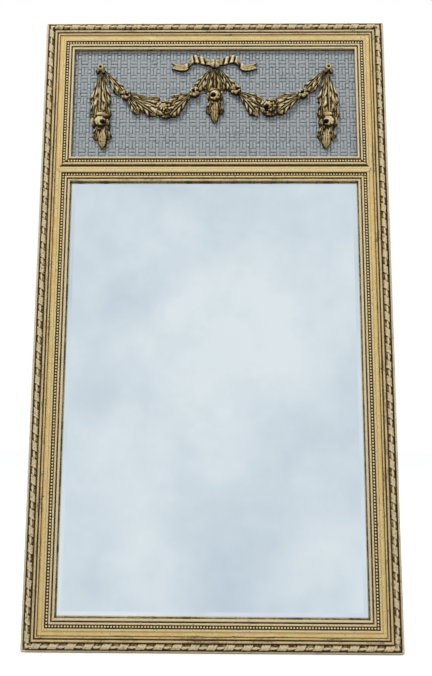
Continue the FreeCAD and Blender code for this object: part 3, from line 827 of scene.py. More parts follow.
# Cross rail bands from the panel down to the glass, grooves marked dark as on the face; the last fillet, by
# the glass, is marked darker than the first, as painted shade.
RAIL_BANDS = (
    Band(3.6, 23.8, 0.8, 0.8, 0.85),
    Band(1.4, 22.4, 0.0, 0.0, 0.0),
    Band(7.0, 22.4, 0.0, 0.0, 0.0),
    Band(4.0, 24.9, 0.8, 0.74, 0.4),
    Band(5.4, 22.8, 0.0, 0.0, 0.0),
    Band(5.2, 26.4, 0.8, 0.74, 0.3),
    Band(5.2, 26.4, 0.8, 0.74, 0.3),
    Band(7.0, 22.4, 0.0, 0.06, 0.0),
    Band(3.2, 24.9, 0.8, 0.8, 0.4),
    Band(2.5, 22.6, 0.0, 0.04, 0.0),
    Band(3.6, 23.8, 0.8, 0.56, 0.7),
)
MEMBER_WIDTH = sum(band.width for band in STILE_EDGE + FACE_BANDS)
RAIL_WIDTH = sum(band.width for band in RAIL_BANDS)
PANEL_HEIGHT = 219.4
OPENING_WIDTH = WIDTH - 2 * MEMBER_WIDTH
PANEL_TOP = HEIGHT - MEMBER_WIDTH
PANEL_LOW = PANEL_TOP - PANEL_HEIGHT
GLASS_TOP = PANEL_LOW - RAIL_WIDTH
RAIL_MIDDLE = PANEL_LOW - RAIL_WIDTH / 2
GLASS_LOW = MEMBER_WIDTH


def face_points(bands: Sequence[Band]) -> list[Point]:
    """Outline of a moulding's face, as distances across and heights.

    Args:
        bands: the face's bands.

    Returns:
        The points in order, without doubles.
    """
    points: list[Point] = []
    across = 0.0
    for band in bands:
        steps = 1 if not band.crown else 10 if band.width > 6 else 6
        for step in range(steps + 1):
            share = step / steps
            point = (across + share * band.width, band.top(share))
            if not points or math.dist(points[-1], point) > 1e-6:
                points.append(point)
        across += band.width
    return points


def band_mark(bands: Sequence[Band], across: float, height: float, mark: Mark) -> float:
    """Value of the band that a point of the moulding belongs to.

    Args:
        bands: the face's bands.
        across: distance across.
        height: height of the point.
        mark: which value.

    Returns:
        The band's value. Points far from every band lie on the walls or the back: their tone is 0, and their
        wear is 0 on the sight walls, as painted shade, and middling elsewhere.
    """
    start = 0.0
    sight = bands is RAIL_BANDS or across > MEMBER_WIDTH - 0.2
    nearest = 1.1
    # Sight walls get no wear: painted shade.
    value = 0.0 if mark is Mark.TONE or sight else 0.4
    for band in bands:
        if start - BAND_SLACK <= across <= start + band.width + BAND_SLACK:
            share = min(1.0, max(0.0, (across - start) / band.width))
            off = abs(height - band.top(share))
            if off < nearest:
                # A cove's wear is lowered by its painted shade.
                shade = (COVE_PAINTED_SHADE[0] * (1 - smooth(0.0, 0.4, share))
                         + COVE_PAINTED_SHADE[1] * smooth(0.84, 1.0, share)) if band.crown < 0 else 0.0
                nearest = off
                value = band.wear_and_shading - shade if mark is Mark.WEAR_AND_SHADING else band.tone
        start += band.width
    return value


def soften(bm: bmesh.types.BMesh, width: float, wanted: Callable[[Vector], bool], segments: int = 2) -> None:
    """Round the long front arrises of a bar.

    Args:
        bm: the bar.
        width: how far the rounding reaches from each arris.
        wanted: whether an arris at a place is rounded.
        segments: steps of the rounding.
    """
    arrises = [edge for edge in bm.edges
               if abs(edge.verts[0].co.x - edge.verts[1].co.x) > 1
               and edge.calc_face_angle(0) > math.radians(28)
               and edge.verts[0].co.y < depth(5)
               and wanted(edge.verts[0].co)]
    bmesh.ops.bevel(bm, geom=arrises, offset=width, offset_type="OFFSET", affect="EDGES", segments=segments,
                    profile=0.5, material=-1, clamp_overlap=True)


def moulding_bar(bands: Sequence[Band], back: Sequence[Point], length: float,
                 outer_rounding: float = ARRIS) -> bmesh.types.BMesh:
    """Straight moulding along X with softened arrises, its first edge at Z 0.

    Args:
        bands: the face's bands.
        back: the rest of the outline, as distances across and heights.
        length: length of the bar.
        outer_rounding: rounding of the first edge.

    Returns:
        The mesh.
    """
    bm = new_mesh()
    outline = face_points(bands) + list(back)
    section = bm.faces.new([bm.verts.new((-length / 2, depth(height), across)) for across, height in outline])
    made = bmesh.ops.extrude_face_region(bm, geom=[section])["geom"]
    far_end = [item for item in made if isinstance(item, bmesh.types.BMVert)]
    bmesh.ops.translate(bm, vec=(length, 0, 0), verts=far_end)
    bmesh.ops.recalc_face_normals(bm, faces=bm.faces)
    soften(bm, ARRIS, lambda co: co.z > 0.5)
    soften(bm, outer_rounding, lambda co: co.z < 0.3, 4)
    for mark in Mark:
        set_mark(bm, mark, lambda co, which=mark: band_mark(bands, co.z, -co.y - WALL_GAP, which))
    return bm


@dataclass
class OuterMember:
    """One of the four mitred members of the frame."""

    side: Side
    node: str
    rebate: float = 8.0
    lip: float = 17.0
    corner: float = 3.0

    def length(self) -> float:
        """Length along the outer edge."""
        return WIDTH if self.side in (Side.BOTTOM, Side.TOP) else HEIGHT

    def bar(self) -> bmesh.types.BMesh:
        """Member with both ends mitred and its outer corners cut back a little.

        Returns:
            The mesh, along a bottom side.
        """
        inner = MEMBER_WIDTH - self.rebate
        back = [(MEMBER_WIDTH, self.lip), (inner, self.lip), (inner, 0.0), (0.0, 0.0)]
        bm = moulding_bar(EDGE_BANDS[self.side] + FACE_BANDS, back, self.length(), OUTER_ARRIS)
        for way in (-1, 1):
            cut_off(bm, Vector((way * self.length() / 2, 0, 0)), Vector((way, 0, 1)))
            cut_off(bm, Vector((way * (self.length() / 2 - self.corner), 0, 0)), Vector((way, 0, -1)))
        return bm

    def notched(self) -> bmesh.types.BMesh:
        """Member with the notch that takes the cross rail's pointed end.

        Returns:
            The mesh, along a bottom side.
        """
        sign = -1 if self.side is Side.LEFT else 1
        middle = sign * (RAIL_MIDDLE - HEIGHT / 2)
        tip = MEMBER_WIDTH - RAIL_WIDTH / 2
        whole = new_mesh()
        for way in (-1, 1):
            half = self.bar()
            cut_off(half, Vector((middle, 0, 0)), Vector((-way, 0, 0)))
            cut_off(half, Vector((middle, 0, tip)), Vector((-way, 0, 1)))
            join(whole, half)
        seam = [face for face in whole.faces if all(abs(vert.co.x - middle) < WELD for vert in face.verts)]
        bmesh.ops.delete(whole, geom=seam, context="FACES")
        bmesh.ops.remove_doubles(whole, verts=whole.verts, dist=WELD)
        return whole

    def build(self, finishes: Finishes) -> bpy.types.Object:
        """Make the member.

        Args:
            finishes: the materials.

        Returns:
            The piece.
        """
        upright = self.side in (Side.LEFT, Side.RIGHT)
        bm = self.notched() if upright else self.bar()
        turn_to_side(bm, self.side, WIDTH, 0, HEIGHT)
        way = "upright" if upright else "level"
        return dress_moulding(self.node, bm, finishes[way + "_moulding"], finishes[way + "_wood"])


def dress_moulding(node: str, bm: bmesh.types.BMesh, gilt: bpy.types.Material,
                   wood: bpy.types.Material) -> bpy.types.Object:
    """Finish a moulding: gilt in front and outside, bare wood behind.

    Args:
        node: the CAD node that it stands for.
        bm: the mesh.
        gilt: material of the face.
        wood: material of the back.

    Returns:
        The piece.
    """
    bmesh.ops.recalc_face_normals(bm, faces=bm.faces)
    for face in bm.faces:
        face.material_index = 1 if face.normal.y > 0.7 else 0
    return make_piece("gilt_" + node, bm, [gilt, wood], [node], crease=50)


@dataclass
class CrossRail:
    """Rail between the panel and the glass, its ends pointed into the stiles."""

    rebate: float = 8.0
    lip: float = 17.0

    def build(self, finishes: Finishes) -> bpy.types.Object:
        """Make the rail.

        Args:
            finishes: the materials.

        Returns:
            The piece.
        """
        inner = RAIL_WIDTH - self.rebate
        back = [(RAIL_WIDTH, self.lip), (inner, self.lip), (inner, 0.0), (self.rebate, 0.0),
                (self.rebate, self.lip), (0.0, self.lip)]
        bm = moulding_bar(RAIL_BANDS, back, OPENING_WIDTH + RAIL_WIDTH)
        tip = (OPENING_WIDTH + RAIL_WIDTH) / 2
        for way in (-1, 1):
            for rise in (-1, 1):
                cut_off(bm, Vector((way * tip, 0, RAIL_WIDTH / 2)), Vector((way, 0, rise)))
        turn_to_side(bm, Side.TOP, WIDTH, 0, PANEL_LOW)
        return dress_moulding("cross_rail", bm, finishes["level_moulding"], finishes["level_wood"])


# ---------------------------------------------------------------- applied strips
@dataclass
class RibbonStrip:
    """Half-round stick wound with a slanting ribbon, mitred at the corners."""

    side: Side
    bed: float = 23.5
    middle: float = 13.2
    stick: float = 2.9
    ribbon: float = 5.2
    pitch: float = 29.6
    wrap: float = 15.5
    slant: float = 6.0
    almond: float = 4.5
    lip: float = 4.2
    tone: float = 0.55
    grid: float = 0.8
    steps: int = 18

    def length(self) -> float:
        """Length of the strip at its middle."""
        return (WIDTH if self.side in (Side.BOTTOM, Side.TOP) else HEIGHT) - 2 * self.middle

    def shape(self, x: float, across: float) -> tuple[float, float]:
        """Radius and wear with painted shading of one point.

        Args:
            x: distance from the strip's middle.
            across: place across the front, -1 to 1.

        Returns:
            The radius and the wear with painted shading.
        """
        count = round(self.length() / self.pitch)
        pitch = self.length() / count
        turn = (x - across * self.slant / 2) / pitch + count / 2 - 0.5
        off = abs(turn - round(turn)) * pitch
        # Painted shade down both flanks of the strip.
        painted_flank_shade = 0.42 * smooth(0.62, 1.0, abs(across))
        if off < self.wrap / 2:
            hem = smooth(self.wrap / 2 - 3.0, self.wrap / 2 - 1.2, off)
            rim = smooth(self.wrap / 2 - 1.1, self.wrap / 2, off)
            fold = 0.16 * math.sin(across * 5.0 + x * 0.3)
            # On a wrap the hem gets a painted highlight and the rim a painted shade.
            return self.ribbon - 0.4 + 0.3 * hem - 0.5 * rim + fold, 0.56 + 0.16 * hem - 0.3 * rim - painted_flank_shade
        gap = (turn % 1.0 - self.wrap / 2 / pitch) / (1 - self.wrap / pitch)
        half = 0.52 * math.sin(math.pi * min(1.0, max(0.0, gap))) ** 0.6
        bud = smooth(half + 0.16, half - 0.14, abs(across + 0.05)) if half > 0.1 else 0.0
        edge = smooth(0.62, 0.8, abs(across)) * smooth(0.05, 0.3, min(gap, 1 - gap))
        radius = self.stick + (self.almond - self.stick) * bud + (self.lip - self.stick) * edge
        # Between the wraps the bud gets a painted highlight and the bed round it stays dark, a painted shade.
        return radius, 0.2 + 0.6 * bud + 0.16 * edge - painted_flank_shade * 0.5

    def point(self, reach: float, along: float, around: float) -> tuple[Vector, float]:
        """Point of the strip; the last sixth of the way round is the flat back.

        Args:
            reach: half the length of the uncut strip.
            along: share of the length.
            around: place round the section, -1 to 1.

        Returns:
            The point and its wear with painted shading.
        """
        x = -reach + 2 * reach * along
        share = (around + 1) / 2 * 1.2
        if share > 1.0:
            back = (share - 1.0) / 0.2
            first, last = self.shape(x, 1.0)[0], -self.shape(x, -1.0)[0]
            return Vector((x, depth(self.bed), self.middle + first + (last - first) * back)), 0.0
        angle = math.pi * share
        radius, wear_and_shading = self.shape(x, -math.cos(angle))
        height = self.bed + radius * math.sin(angle)
        return Vector((x, depth(height), self.middle - radius * math.cos(angle))), max(0.0, wear_and_shading)

    def build(self, finishes: Finishes) -> bpy.types.Object:
        """Make the strip.

        Args:
            finishes: the materials.

        Returns:
            The piece.
        """
        reach = self.length() / 2 + self.ribbon + 1
        bm = relief_patch(self.steps, int(reach * 2 / self.grid),
                          lambda along, around: self.point(reach, along, around))
        bmesh.ops.remove_doubles(bm, verts=bm.verts, dist=FINE_WELD)
        bmesh.ops.recalc_face_normals(bm, faces=bm.faces)
        long = self.length() / 2 + self.middle
        for way in (-1, 1):
            cut_off(bm, Vector((way * long, 0, 0)), Vector((way, 0, 1)))
        turn_to_side(bm, self.side, WIDTH, 0, HEIGHT)
        set_mark(bm, Mark.TONE, lambda co: self.tone)
        name = self.side.name.lower()
        return make_piece("ribbon_" + name, bm, [finishes["ribbon"]], ["ribbon_strip_" + name])


@dataclass
class BeadRows:
    """Chains of half beads round one opening."""

    name: str
    low: float
    high: float
    radius: float = 2.2
    neck: float = 0.9
    pitch: float = 5.3
    floor: float = 22.4
    outer_offset: float = 12.8
    rail_offset: float = 8.5
    tone: float = 0.3

    def bead(self) -> bpy.types.Mesh:
        """One half bead, its poles along the chain, its top rubbed and given a painted highlight, its foot in
        painted shade.

        Returns:
            The small mesh.
        """
        bm = new_mesh()
        bmesh.ops.create_uvsphere(bm, u_segments=10, v_segments=7, radius=self.radius)
        bmesh.ops.rotate(bm, verts=bm.verts, cent=(0, 0, 0), matrix=Matrix.Rotation(math.pi / 2, 3, "Y"))
        cut_off(bm, Vector((0, 0, 0)), Vector((0, 1, 0)))
        # Dark foot and bright top: painted shade and painted highlight as well as rubbing.
        set_mark(bm, Mark.WEAR_AND_SHADING, lambda co: 0.1 + 0.95 * smooth(0.35, 0.95, -co.y / self.radius))
        set_mark(bm, Mark.TONE, lambda co: self.tone)
        return as_template(bm, "bead")

    def chain(self, bead: bpy.types.Mesh, length: float, shift: float, offset: float) -> bmesh.types.BMesh:
        """One straight chain beside a side at Z 0.

        Args:
            bead: the bead to repeat.
            length: room for the chain.
            shift: how far its middle lies from the side's middle.
            offset: distance outside the side.

        Returns:
            The mesh.
        """
        bm = new_mesh()
        count = round(length / self.pitch)
        bmesh.ops.create_cone(bm, cap_ends=True, segments=8, radius1=self.neck, radius2=self.neck,
                              depth=length, matrix=Matrix.Rotation(math.pi / 2, 4, "Y"))
        cut_off(bm, Vector((0, 0, 0)), Vector((0, 1, 0)))
        places = [(step - count / 2 + 0.5) * length / count for step in range(count)]
        stamp(bm, bead, [Matrix.Translation((x, 0, 0)) for x in places])
        bmesh.ops.translate(bm, vec=(shift, depth(self.floor), -offset), verts=bm.verts)
        return bm

    def build(self, finishes: Finishes) -> bpy.types.Object:
        """Make all four chains.

        Args:
            finishes: the materials.

        Returns:
            The piece.
        """
        bead = self.bead()
        whole = new_mesh()
        rail_below = self.name == "panel"
        for side in Side:
            offset, shift = self.outer_offset, 0.0
            if side in (Side.LEFT, Side.RIGHT):
                below = self.rail_offset if rail_below else self.outer_offset
                length = self.high - self.low + below + self.outer_offset + self.pitch
                shift = (below - self.outer_offset) / 2 * (1 if side is Side.LEFT else -1)
            elif side is Side.BOTTOM and rail_below:
                offset = self.rail_offset
                length = OPENING_WIDTH + 2 * (offset - self.radius)
            else:
                length = OPENING_WIDTH + 2 * self.outer_offset - self.pitch
            bm = self.chain(bead, length, shift, offset)
            turn_to_side(bm, side, OPENING_WIDTH, self.low, self.high)
            join(whole, bm)
        bpy.data.meshes.remove(bead)
        nodes = [f"{self.name}_beads_{side.name.lower()}" for side in Side]
        return make_piece(self.name + "_beads", whole, [finishes["beads"]], nodes)


# ---------------------------------------------------------------- panel and glass
@dataclass
class WeavePanel:
    """Sheet pressed with a woven pattern of single and paired strips."""

    front: float = 17.0
    thickness: float = 1.2
    relief: float = 0.95
    play: float = 0.3
    rebate: float = 8.0
    column: float = 19.25
    row: float = 30.12
    first_x: float = -262.5
    first_drop: float = 70.7
    pair_gap: float = 3.2
    level_gap: float = 3.55
    detail: dict[str, Point] = field(default_factory=lambda: {
        "level": (12.7, 6.5), "stem": (6.3, 22.4), "pair": (5.9, 16.4), "knob": (5.6, 6.4)})

    def strip(self, width: float, height: float) -> bpy.types.Mesh:
        """One pillow-shaped strip, its back on the ground of the sheet.

        Args:
            width: size along X.
            height: size along Z.

        Returns:
            The small mesh.
        """
        ground = self.front - self.relief

        def put(up: float, side: float) -> tuple[Vector, float]:
            """Point of the pillow, steep at its rim.

            Args:
                up: share of the height.
                side: place across, -1 to 1.

            Returns:
                The point and its wear: painted shade low at the rim, between the strips.
            """
            x, z = [math.copysign(abs(share) ** 0.4, share) for share in (side, 2 * up - 1)]
            rise = ((1 - abs(x) ** 5) * (1 - abs(z) ** 5)) ** 0.5
            # Low wear at the rim gives painted shade in the gaps between strips; the small strips are marked
            # lighter.
            return (Vector((x * width / 2, depth(ground + self.relief * rise), z * height / 2)),
                    0.08 + 0.5 * smooth(0.0, 0.7, rise) + (0.3 if width + height < 14 else 0.0))

        across, along = (6, 4) if width > height else (4, 6)
        return as_template(relief_patch(across, along, put), "strip")

    def places(self) -> dict[str, list[Matrix]]:
        """Where the strips of each kind go: more than the sheet holds, for the edges to cut.

        Returns:
            The moves by kind.
        """
        found: dict[str, list[Matrix]] = {kind: [] for kind in self.detail}

        def add(kind: str, x: float, drop: float) -> None:
            """Put a strip of one kind at a place."""
            found[kind].append(Matrix.Translation((x, 0, HEIGHT - drop)))

        for column in range(-1, 29):
            x = self.first_x + column * self.column
            pair_x = x + self.column / 2
            for row in range(-1, 8):
                drop = self.first_drop + row * self.row
                between = drop + self.row / 2
                wobble = 0.5 * noise.noise(Vector((x * 0.31, drop * 0.17, 1.0)))
                add("knob", x, drop)
                add("stem", x + wobble * 0.5, between)
                for part in (-1, 1):
                    add("pair", pair_x + part * self.pair_gap, drop + wobble)
                    add("level", pair_x, between + part * self.level_gap + wobble)
        return found

    def build(self, finishes: Finishes) -> bpy.types.Object:
        """Make the sheet.

        Args:
            finishes: the materials.

        Returns:
            The piece.
        """
        bm = new_mesh()
        for kind, moves in self.places().items():
            template = self.strip(*self.detail[kind])
            stamp(bm, template, moves)
            bpy.data.meshes.remove(template)
        half = OPENING_WIDTH / 2 + self.rebate - self.play
        low = PANEL_LOW - self.rebate
        high = PANEL_TOP + self.rebate - 2 * self.play
        for point, outward in (((-half, 0, 0), (-1, 0, 0)), ((half, 0, 0), (1, 0, 0)),
                               ((0, 0, low), (0, 0, -1)), ((0, 0, high), (0, 0, 1))):
            cut_off(bm, Vector(point), Vector(outward), close=False)
        ground = new_mesh()
        bmesh.ops.create_cube(ground, size=1.0)
        back = self.front - self.thickness
        rise = self.front - self.relief - back + 0.02
        bmesh.ops.scale(ground, vec=(2 * half, rise, high - low), verts=ground.verts)
        bmesh.ops.translate(ground, vec=(0, depth(back + rise / 2), (low + high) / 2), verts=ground.verts)
        join(bm, ground)
        return make_piece("woven_sheet", bm, [finishes["weave"]], ["weave_sheet"], crease=60)


@dataclass
class MirrorGlass:
    """Silvered plate with a wide bevel ground round its front."""

    thickness: float = 5.0
    bevel: float = 26.0
    bevel_depth: float = 2.2
    play: float = 0.3
    rebate: float = 8.0
    lip: float = 17.0
    lip_touch: float = 0.1

    def build(self, finishes: Finishes) -> bpy.types.Object:
        """Make the plate.

        Args:
            finishes: the materials.

        Returns:
            The piece.
        """
        overlap = self.rebate - self.play
        front = self.lip + self.bevel_depth * (self.bevel - overlap) / self.bevel - self.lip_touch
        back = front - self.thickness
        edge = front - self.bevel_depth
        low = GLASS_LOW - self.rebate
        high = GLASS_TOP + self.rebate - 2 * self.play
        bm = new_mesh()
        bmesh.ops.create_cube(bm, size=1.0)
        bmesh.ops.scale(bm, vec=(OPENING_WIDTH + 2 * overlap, edge - back, high - low), verts=bm.verts)
        bmesh.ops.translate(bm, vec=(0, depth((edge + back) / 2), (low + high) / 2), verts=bm.verts)
        bm.normal_update()
        face = min(bm.faces, key=lambda one: one.calc_center_median().y)
        bmesh.ops.inset_region(bm, faces=[face], thickness=self.bevel)
        bmesh.ops.translate(bm, vec=(0, -self.bevel_depth, 0), verts=face.verts)
        bm.normal_update()
        for one in bm.faces:
            one.material_index = 0 if one.normal.y < -0.5 else 1
        return make_piece("mirror_plate", bm, [finishes["mirror"], finishes["glass_edge"]],
                          ["mirror_glass"], crease=2)


# ---------------------------------------------------------------- ornament
PANEL_FACE = 17.0
LeafRow = tuple[float, ...]


def move_to(bm: bmesh.types.BMesh, x: float, drop: float) -> bmesh.types.BMesh:
    """Move a motif from the origin to its place on the panel, and hand it back."""
    bmesh.ops.translate(bm, vec=(x, 0, PANEL_TOP - drop), verts=bm.verts)
    return bm


@dataclass(frozen=True)
class Leaf:
    """Carved acanthus leaf that grows from a place at an angle counted from straight down."""

    x: float
    drop: float
    turn: float
    length: float
    width: float
    lobes: int = 4
    belly: float = 0.55
    lift: float = 0.0
    shade: float = 0.0
    relief: float = 9.0
    notch: float = 0.24
    lean: float = 0.2
    stagger: float = 0.42
    least: float = 0.8
    foot: float = 0.3
    steps: tuple[int, int] = (20, 12)

    def lobe(self, along: float) -> float:
        """Fullness of the lobe at a share of the length: 0 in a notch, 1 near its tip."""
        return math.sin(math.pi * ((self.lobes * along) % 1.0) ** 1.7) ** 0.65

    def point(self, u: float, v: float) -> tuple[Vector, float]:
        """Point of the leaf's face, its stalk at the origin and its tip straight down.

        Args:
            u: share of the length.
            v: place across, -1 to 1.

        Returns:
            The point and its wear with painted light.
        """
        side = abs(v)
        rounding = math.sin(math.pi * u ** (math.log(0.5) / math.log(self.belly)))
        body = max(0.0, rounding) ** 0.62
        full = self.lobe(u if v < 0 else u + self.stagger / self.lobes)
        last = smooth(1 - 1.05 / self.lobes, 1 - 0.5 / self.lobes, u)
        deep = self.notch * (1 - last) * smooth(0.04, 0.16, u)
        reach = self.width / 2 * body * (1 - deep * (1 - full) * side)
        dome = 0.42 + 0.58 * math.sqrt(max(0.0, 1 - side ** 2.6))
        arch = 0.72 + 0.28 * math.sin(math.pi * u) - 0.32 * smooth(0.86, 1.0, u)
        rib = math.exp(-((v / 0.09) ** 2)) * (1 - 0.5 * u)
        rich = min(1.0, self.lobes / 3)
        gully = math.exp(-(((side - 0.22) / 0.09) ** 2)) * (1 - smooth(0.8, 1.0, u)) * rich
        vein = (full - 0.6) * smooth(0.15, 0.6, side) * (1 - last)
        ridge = math.cos(12 * side) * smooth(0.1, 0.3, side) * (1 - smooth(0.75, 1.0, u)) * rich
        rise = self.relief * (dome * arch + 0.10 * rib - 0.2 * gully + 0.46 * vein * body + 0.05 * ridge)
        # Wear here is mostly painted light: painted highlights on the midrib, lobes and ridges, painted shade
        # in the gullies and notches.
        wear_and_shading = 0.43 + 0.3 * rib - 0.46 * gully + 1.0 * vein + 0.14 * ridge
        # Painted shade round the edge and at the stalk; shade darkens the whole leaf.
        wear_and_shading -= 0.6 * smooth(0.82, 1.0, side) + 0.16 * (1 - smooth(0.0, 0.12, u)) + self.shade
        out = u + self.lean * side ** 1.3 * math.sin(math.pi * min(1.0, u * 1.1))
        height = PANEL_FACE + max(self.least, rise + self.lift)
        return Vector((v * reach, depth(height), -self.length * out)), wear_and_shading

    def build(self) -> bmesh.types.BMesh:
        """Make the leaf in its place.

        Returns:
            The mesh.
        """
        bm = relief_patch(self.steps[0], self.steps[1] * self.lobes, self.point)
        close_down(bm, PANEL_FACE, self.foot)
        turn = Matrix.Rotation(math.radians(-self.turn), 3, "Y")
        bmesh.ops.rotate(bm, verts=bm.verts, cent=(0, 0, 0), matrix=turn)
        return move_to(bm, self.x, self.drop)


@dataclass(frozen=True)
class Petal:
    """Rounded petal of a flower; places and sizes are shares of the flower's radius and relief."""

    x: float
    z: float
    wide: float
    tall: float
    top: float
    turn: float = 0.0

    def reach(self, x: float, z: float) -> float:
        """How far a place lies from the petal's middle.

        Args:
            x: place across.
            z: place upwards.

        Returns:
            The distance, 1 at the petal's rim.
        """
        angle = math.radians(self.turn)
        across = (x - self.x) * math.cos(angle) + (z - self.z) * math.sin(angle)
        along = (z - self.z) * math.cos(angle) - (x - self.x) * math.sin(angle)
        return math.hypot(across / self.wide, along / self.tall)


CUP_PETALS = (
    Petal(0.0, -0.02, 0.90, 0.92, 0.50),
    Petal(0.22, 0.62, 0.70, 0.36, 0.80, -12.0),
    Petal(-0.76, -0.16, 0.25, 0.52, 0.84, 8.0),
    Petal(0.10, -0.66, 0.60, 0.30, 0.62),
    Petal(0.72, -0.20, 0.28, 0.46, 0.72, 14.0),
    Petal(0.0, -0.08, 0.60, 0.58, 1.0),
)
MIDDLE_PETALS = (
    Petal(0.0, 0.0, 0.94, 0.94, 0.50),
    Petal(-0.1, 0.72, 0.62, 0.28, 0.72),
    Petal(0.84, -0.06, 0.24, 0.66, 0.9, -6.0),
    Petal(-0.80, 0.0, 0.24, 0.50, 0.55),
    Petal(0.06, -0.80, 0.62, 0.24, 0.6),
    Petal(0.06, -0.06, 0.70, 0.70, 1.0),
)
FULL_PETALS = (
    Petal(0.0, 0.0, 0.98, 0.94, 0.45),
    Petal(0.05, -0.66, 0.66, 0.34, 0.60),
    Petal(-0.72, -0.30, 0.36, 0.50, 0.66, 14.0),
    Petal(0.70, -0.34, 0.38, 0.46, 0.68, -14.0),
    Petal(0.62, 0.34, 0.46, 0.44, 0.74, 30.0),
    Petal(0.06, 0.66, 0.62, 0.34, 0.78),
    Petal(-0.56, 0.34, 0.46, 0.44, 0.80, -20.0),
    Petal(0.10, -0.04, 0.58, 0.56, 0.88),
    Petal(-0.20, 0.14, 0.46, 0.42, 1.0, 20.0),
)
FLOWER_PETALS = (
    Petal(0.0, 0.0, 0.88, 0.88, 0.55),
    Petal(-0.40, -0.36, 0.50, 0.46, 0.80, -30.0),
    Petal(0.46, -0.20, 0.48, 0.50, 0.92, 20.0),
    Petal(0.30, 0.48, 0.56, 0.42, 0.96, -20.0),
    Petal(-0.44, 0.36, 0.48, 0.46, 0.86, 40.0),
    Petal(0.04, -0.56, 0.40, 0.36, 1.0),
)


@dataclass(frozen=True)
class Rose:
    """Flower of overlapping petals with a hollow eye in painted shade; a mirrored one has left and right
    swapped.
    """

    x: float
    drop: float
    radius: float
    eye: Petal
    petals: tuple[Petal, ...] = CUP_PETALS
    relief: float = 13.0
    ripples: int = 7
    frill: float = 0.35
    mirrored: bool = False
    foot: float = 0.4
    steps: tuple[int, int] = (72, 30)

    def face(self, x: float, z: float) -> tuple[float, float]:
        """Relative height and wear with painted light at a place.

        Args:
            x: place across, as a share of the radius.
            z: place upwards, as a share of the radius.

        Returns:
            The height as a share of the relief, and the wear with painted light.
        """
        height, wear_and_shading = 0.35, 0.15
        for petal in self.petals:
            reach = petal.reach(x, z)
            if reach < 1:
                height = max(height, petal.top * (0.72 + 0.28 * math.sqrt(1 - reach ** 3)))
                ripple = math.sin(self.ripples * math.atan2(z - petal.z, x - petal.x) + 5 * petal.x)
                ripple *= smooth(0.2, 0.7, reach) * self.frill
                height += 0.05 * ripple
                # Painted light from the upper left (upper right on a mirrored rose): each petal is marked
                # lighter towards that side and darker away from it.
                light = (z - petal.z) / petal.tall - (x - petal.x) / petal.wide
                wear_and_shading = 0.52 - 0.4 * (1 - petal.top) + 0.22 * light
                # Ripples get painted highlights and each petal's rim a painted shade.
                wear_and_shading += 0.26 * ripple - 0.4 * smooth(0.76, 1.0, reach)
            else:
                # Painted shadow just outside each petal, cast on the petals below it.
                wear_and_shading -= 0.55 * math.exp(-(((reach - 1) / 0.14) ** 2))
        # The hollow eye is marked fully dark, a painted shade, with a ring of painted highlight round it.
        hollow = 1 - smooth(0.7, 1.1, self.eye.reach(x, z))
        wear_and_shading += 0.22 * math.exp(-(((self.eye.reach(x, z) - 1.35) / 0.25) ** 2))
        return height + (self.eye.top - height) * hollow, wear_and_shading * (1 - hollow)

    def point(self, out: float, around: float) -> tuple[Vector, float]:
        """Point of the flower's face about the origin.

        Args:
            out: share of the way from the middle.
            around: direction, -1 to 1 for a whole turn.

        Returns:
            The point and its wear with painted light.
        """
        angle = math.pi * around
        rim = 1.0
        while rim > 0.6 and all(petal.reach(rim * math.cos(angle), rim * math.sin(angle)) > 1
                                for petal in self.petals):
            rim -= 0.04
        x, z = out * rim * math.cos(angle), out * rim * math.sin(angle)
        height, wear_and_shading = self.face(-x if self.mirrored else x, z)
        return Vector((x * self.radius, depth(PANEL_FACE + self.relief * height), z * self.radius)), wear_and_shading

    def build(self) -> bmesh.types.BMesh:
        """Make the flower in its place.

        Returns:
            The mesh.
        """
        bm = relief_patch(*self.steps, self.point)
        bmesh.ops.remove_doubles(bm, verts=bm.verts, dist=2 * WELD)
        close_down(bm, PANEL_FACE, self.foot)
        return move_to(bm, self.x, self.drop)


def small_flower(x: float, drop: float, radius: float, eye_x: float, eye_z: float) -> Rose:
    """Small open flower, the place of its eye given as shares of its radius."""
    return Rose(x, drop, radius, Petal(eye_x, eye_z, 0.3, 0.28, 0.3), FLOWER_PETALS, relief=11.5, ripples=3)


def add_ring(bm: bmesh.types.BMesh, radius: float, hole: float, relief: float) -> None:
    """Put a round moulded eye about the origin into a mesh.

    Args:
        bm: the mesh.
        radius: outer radius.
        hole: radius of the hole.
        relief: height above the panel.
    """
    middle = (radius + hole) / 2
    thick = (radius - hole) / 2
    points = [bm.verts.new((middle + thick, depth(PANEL_FACE), 0))]
    for step in range(1, 9):
        angle = math.pi * step / 8
        points.append(bm.verts.new((middle + thick * math.cos(angle),
                                    depth(PANEL_FACE + relief * math.sin(angle) ** 0.6), 0)))
    edges = [bm.edges.new(pair) for pair in zip(points, points[1:] + points[:1])]
    bmesh.ops.spin(bm, geom=points + edges, cent=(0, 0, 0), axis=(0, 1, 0), angle=2 * math.pi, steps=24,
                   use_merge=True)
    bmesh.ops.remove_doubles(bm, verts=bm.verts, dist=WELD)
    # Painted shade low on the ring, lighter towards its top.
    set_mark(bm, Mark.WEAR_AND_SHADING, lambda co: 0.66 * smooth(0.2, 0.9, (-co.y - WALL_GAP - PANEL_FACE) / relief))


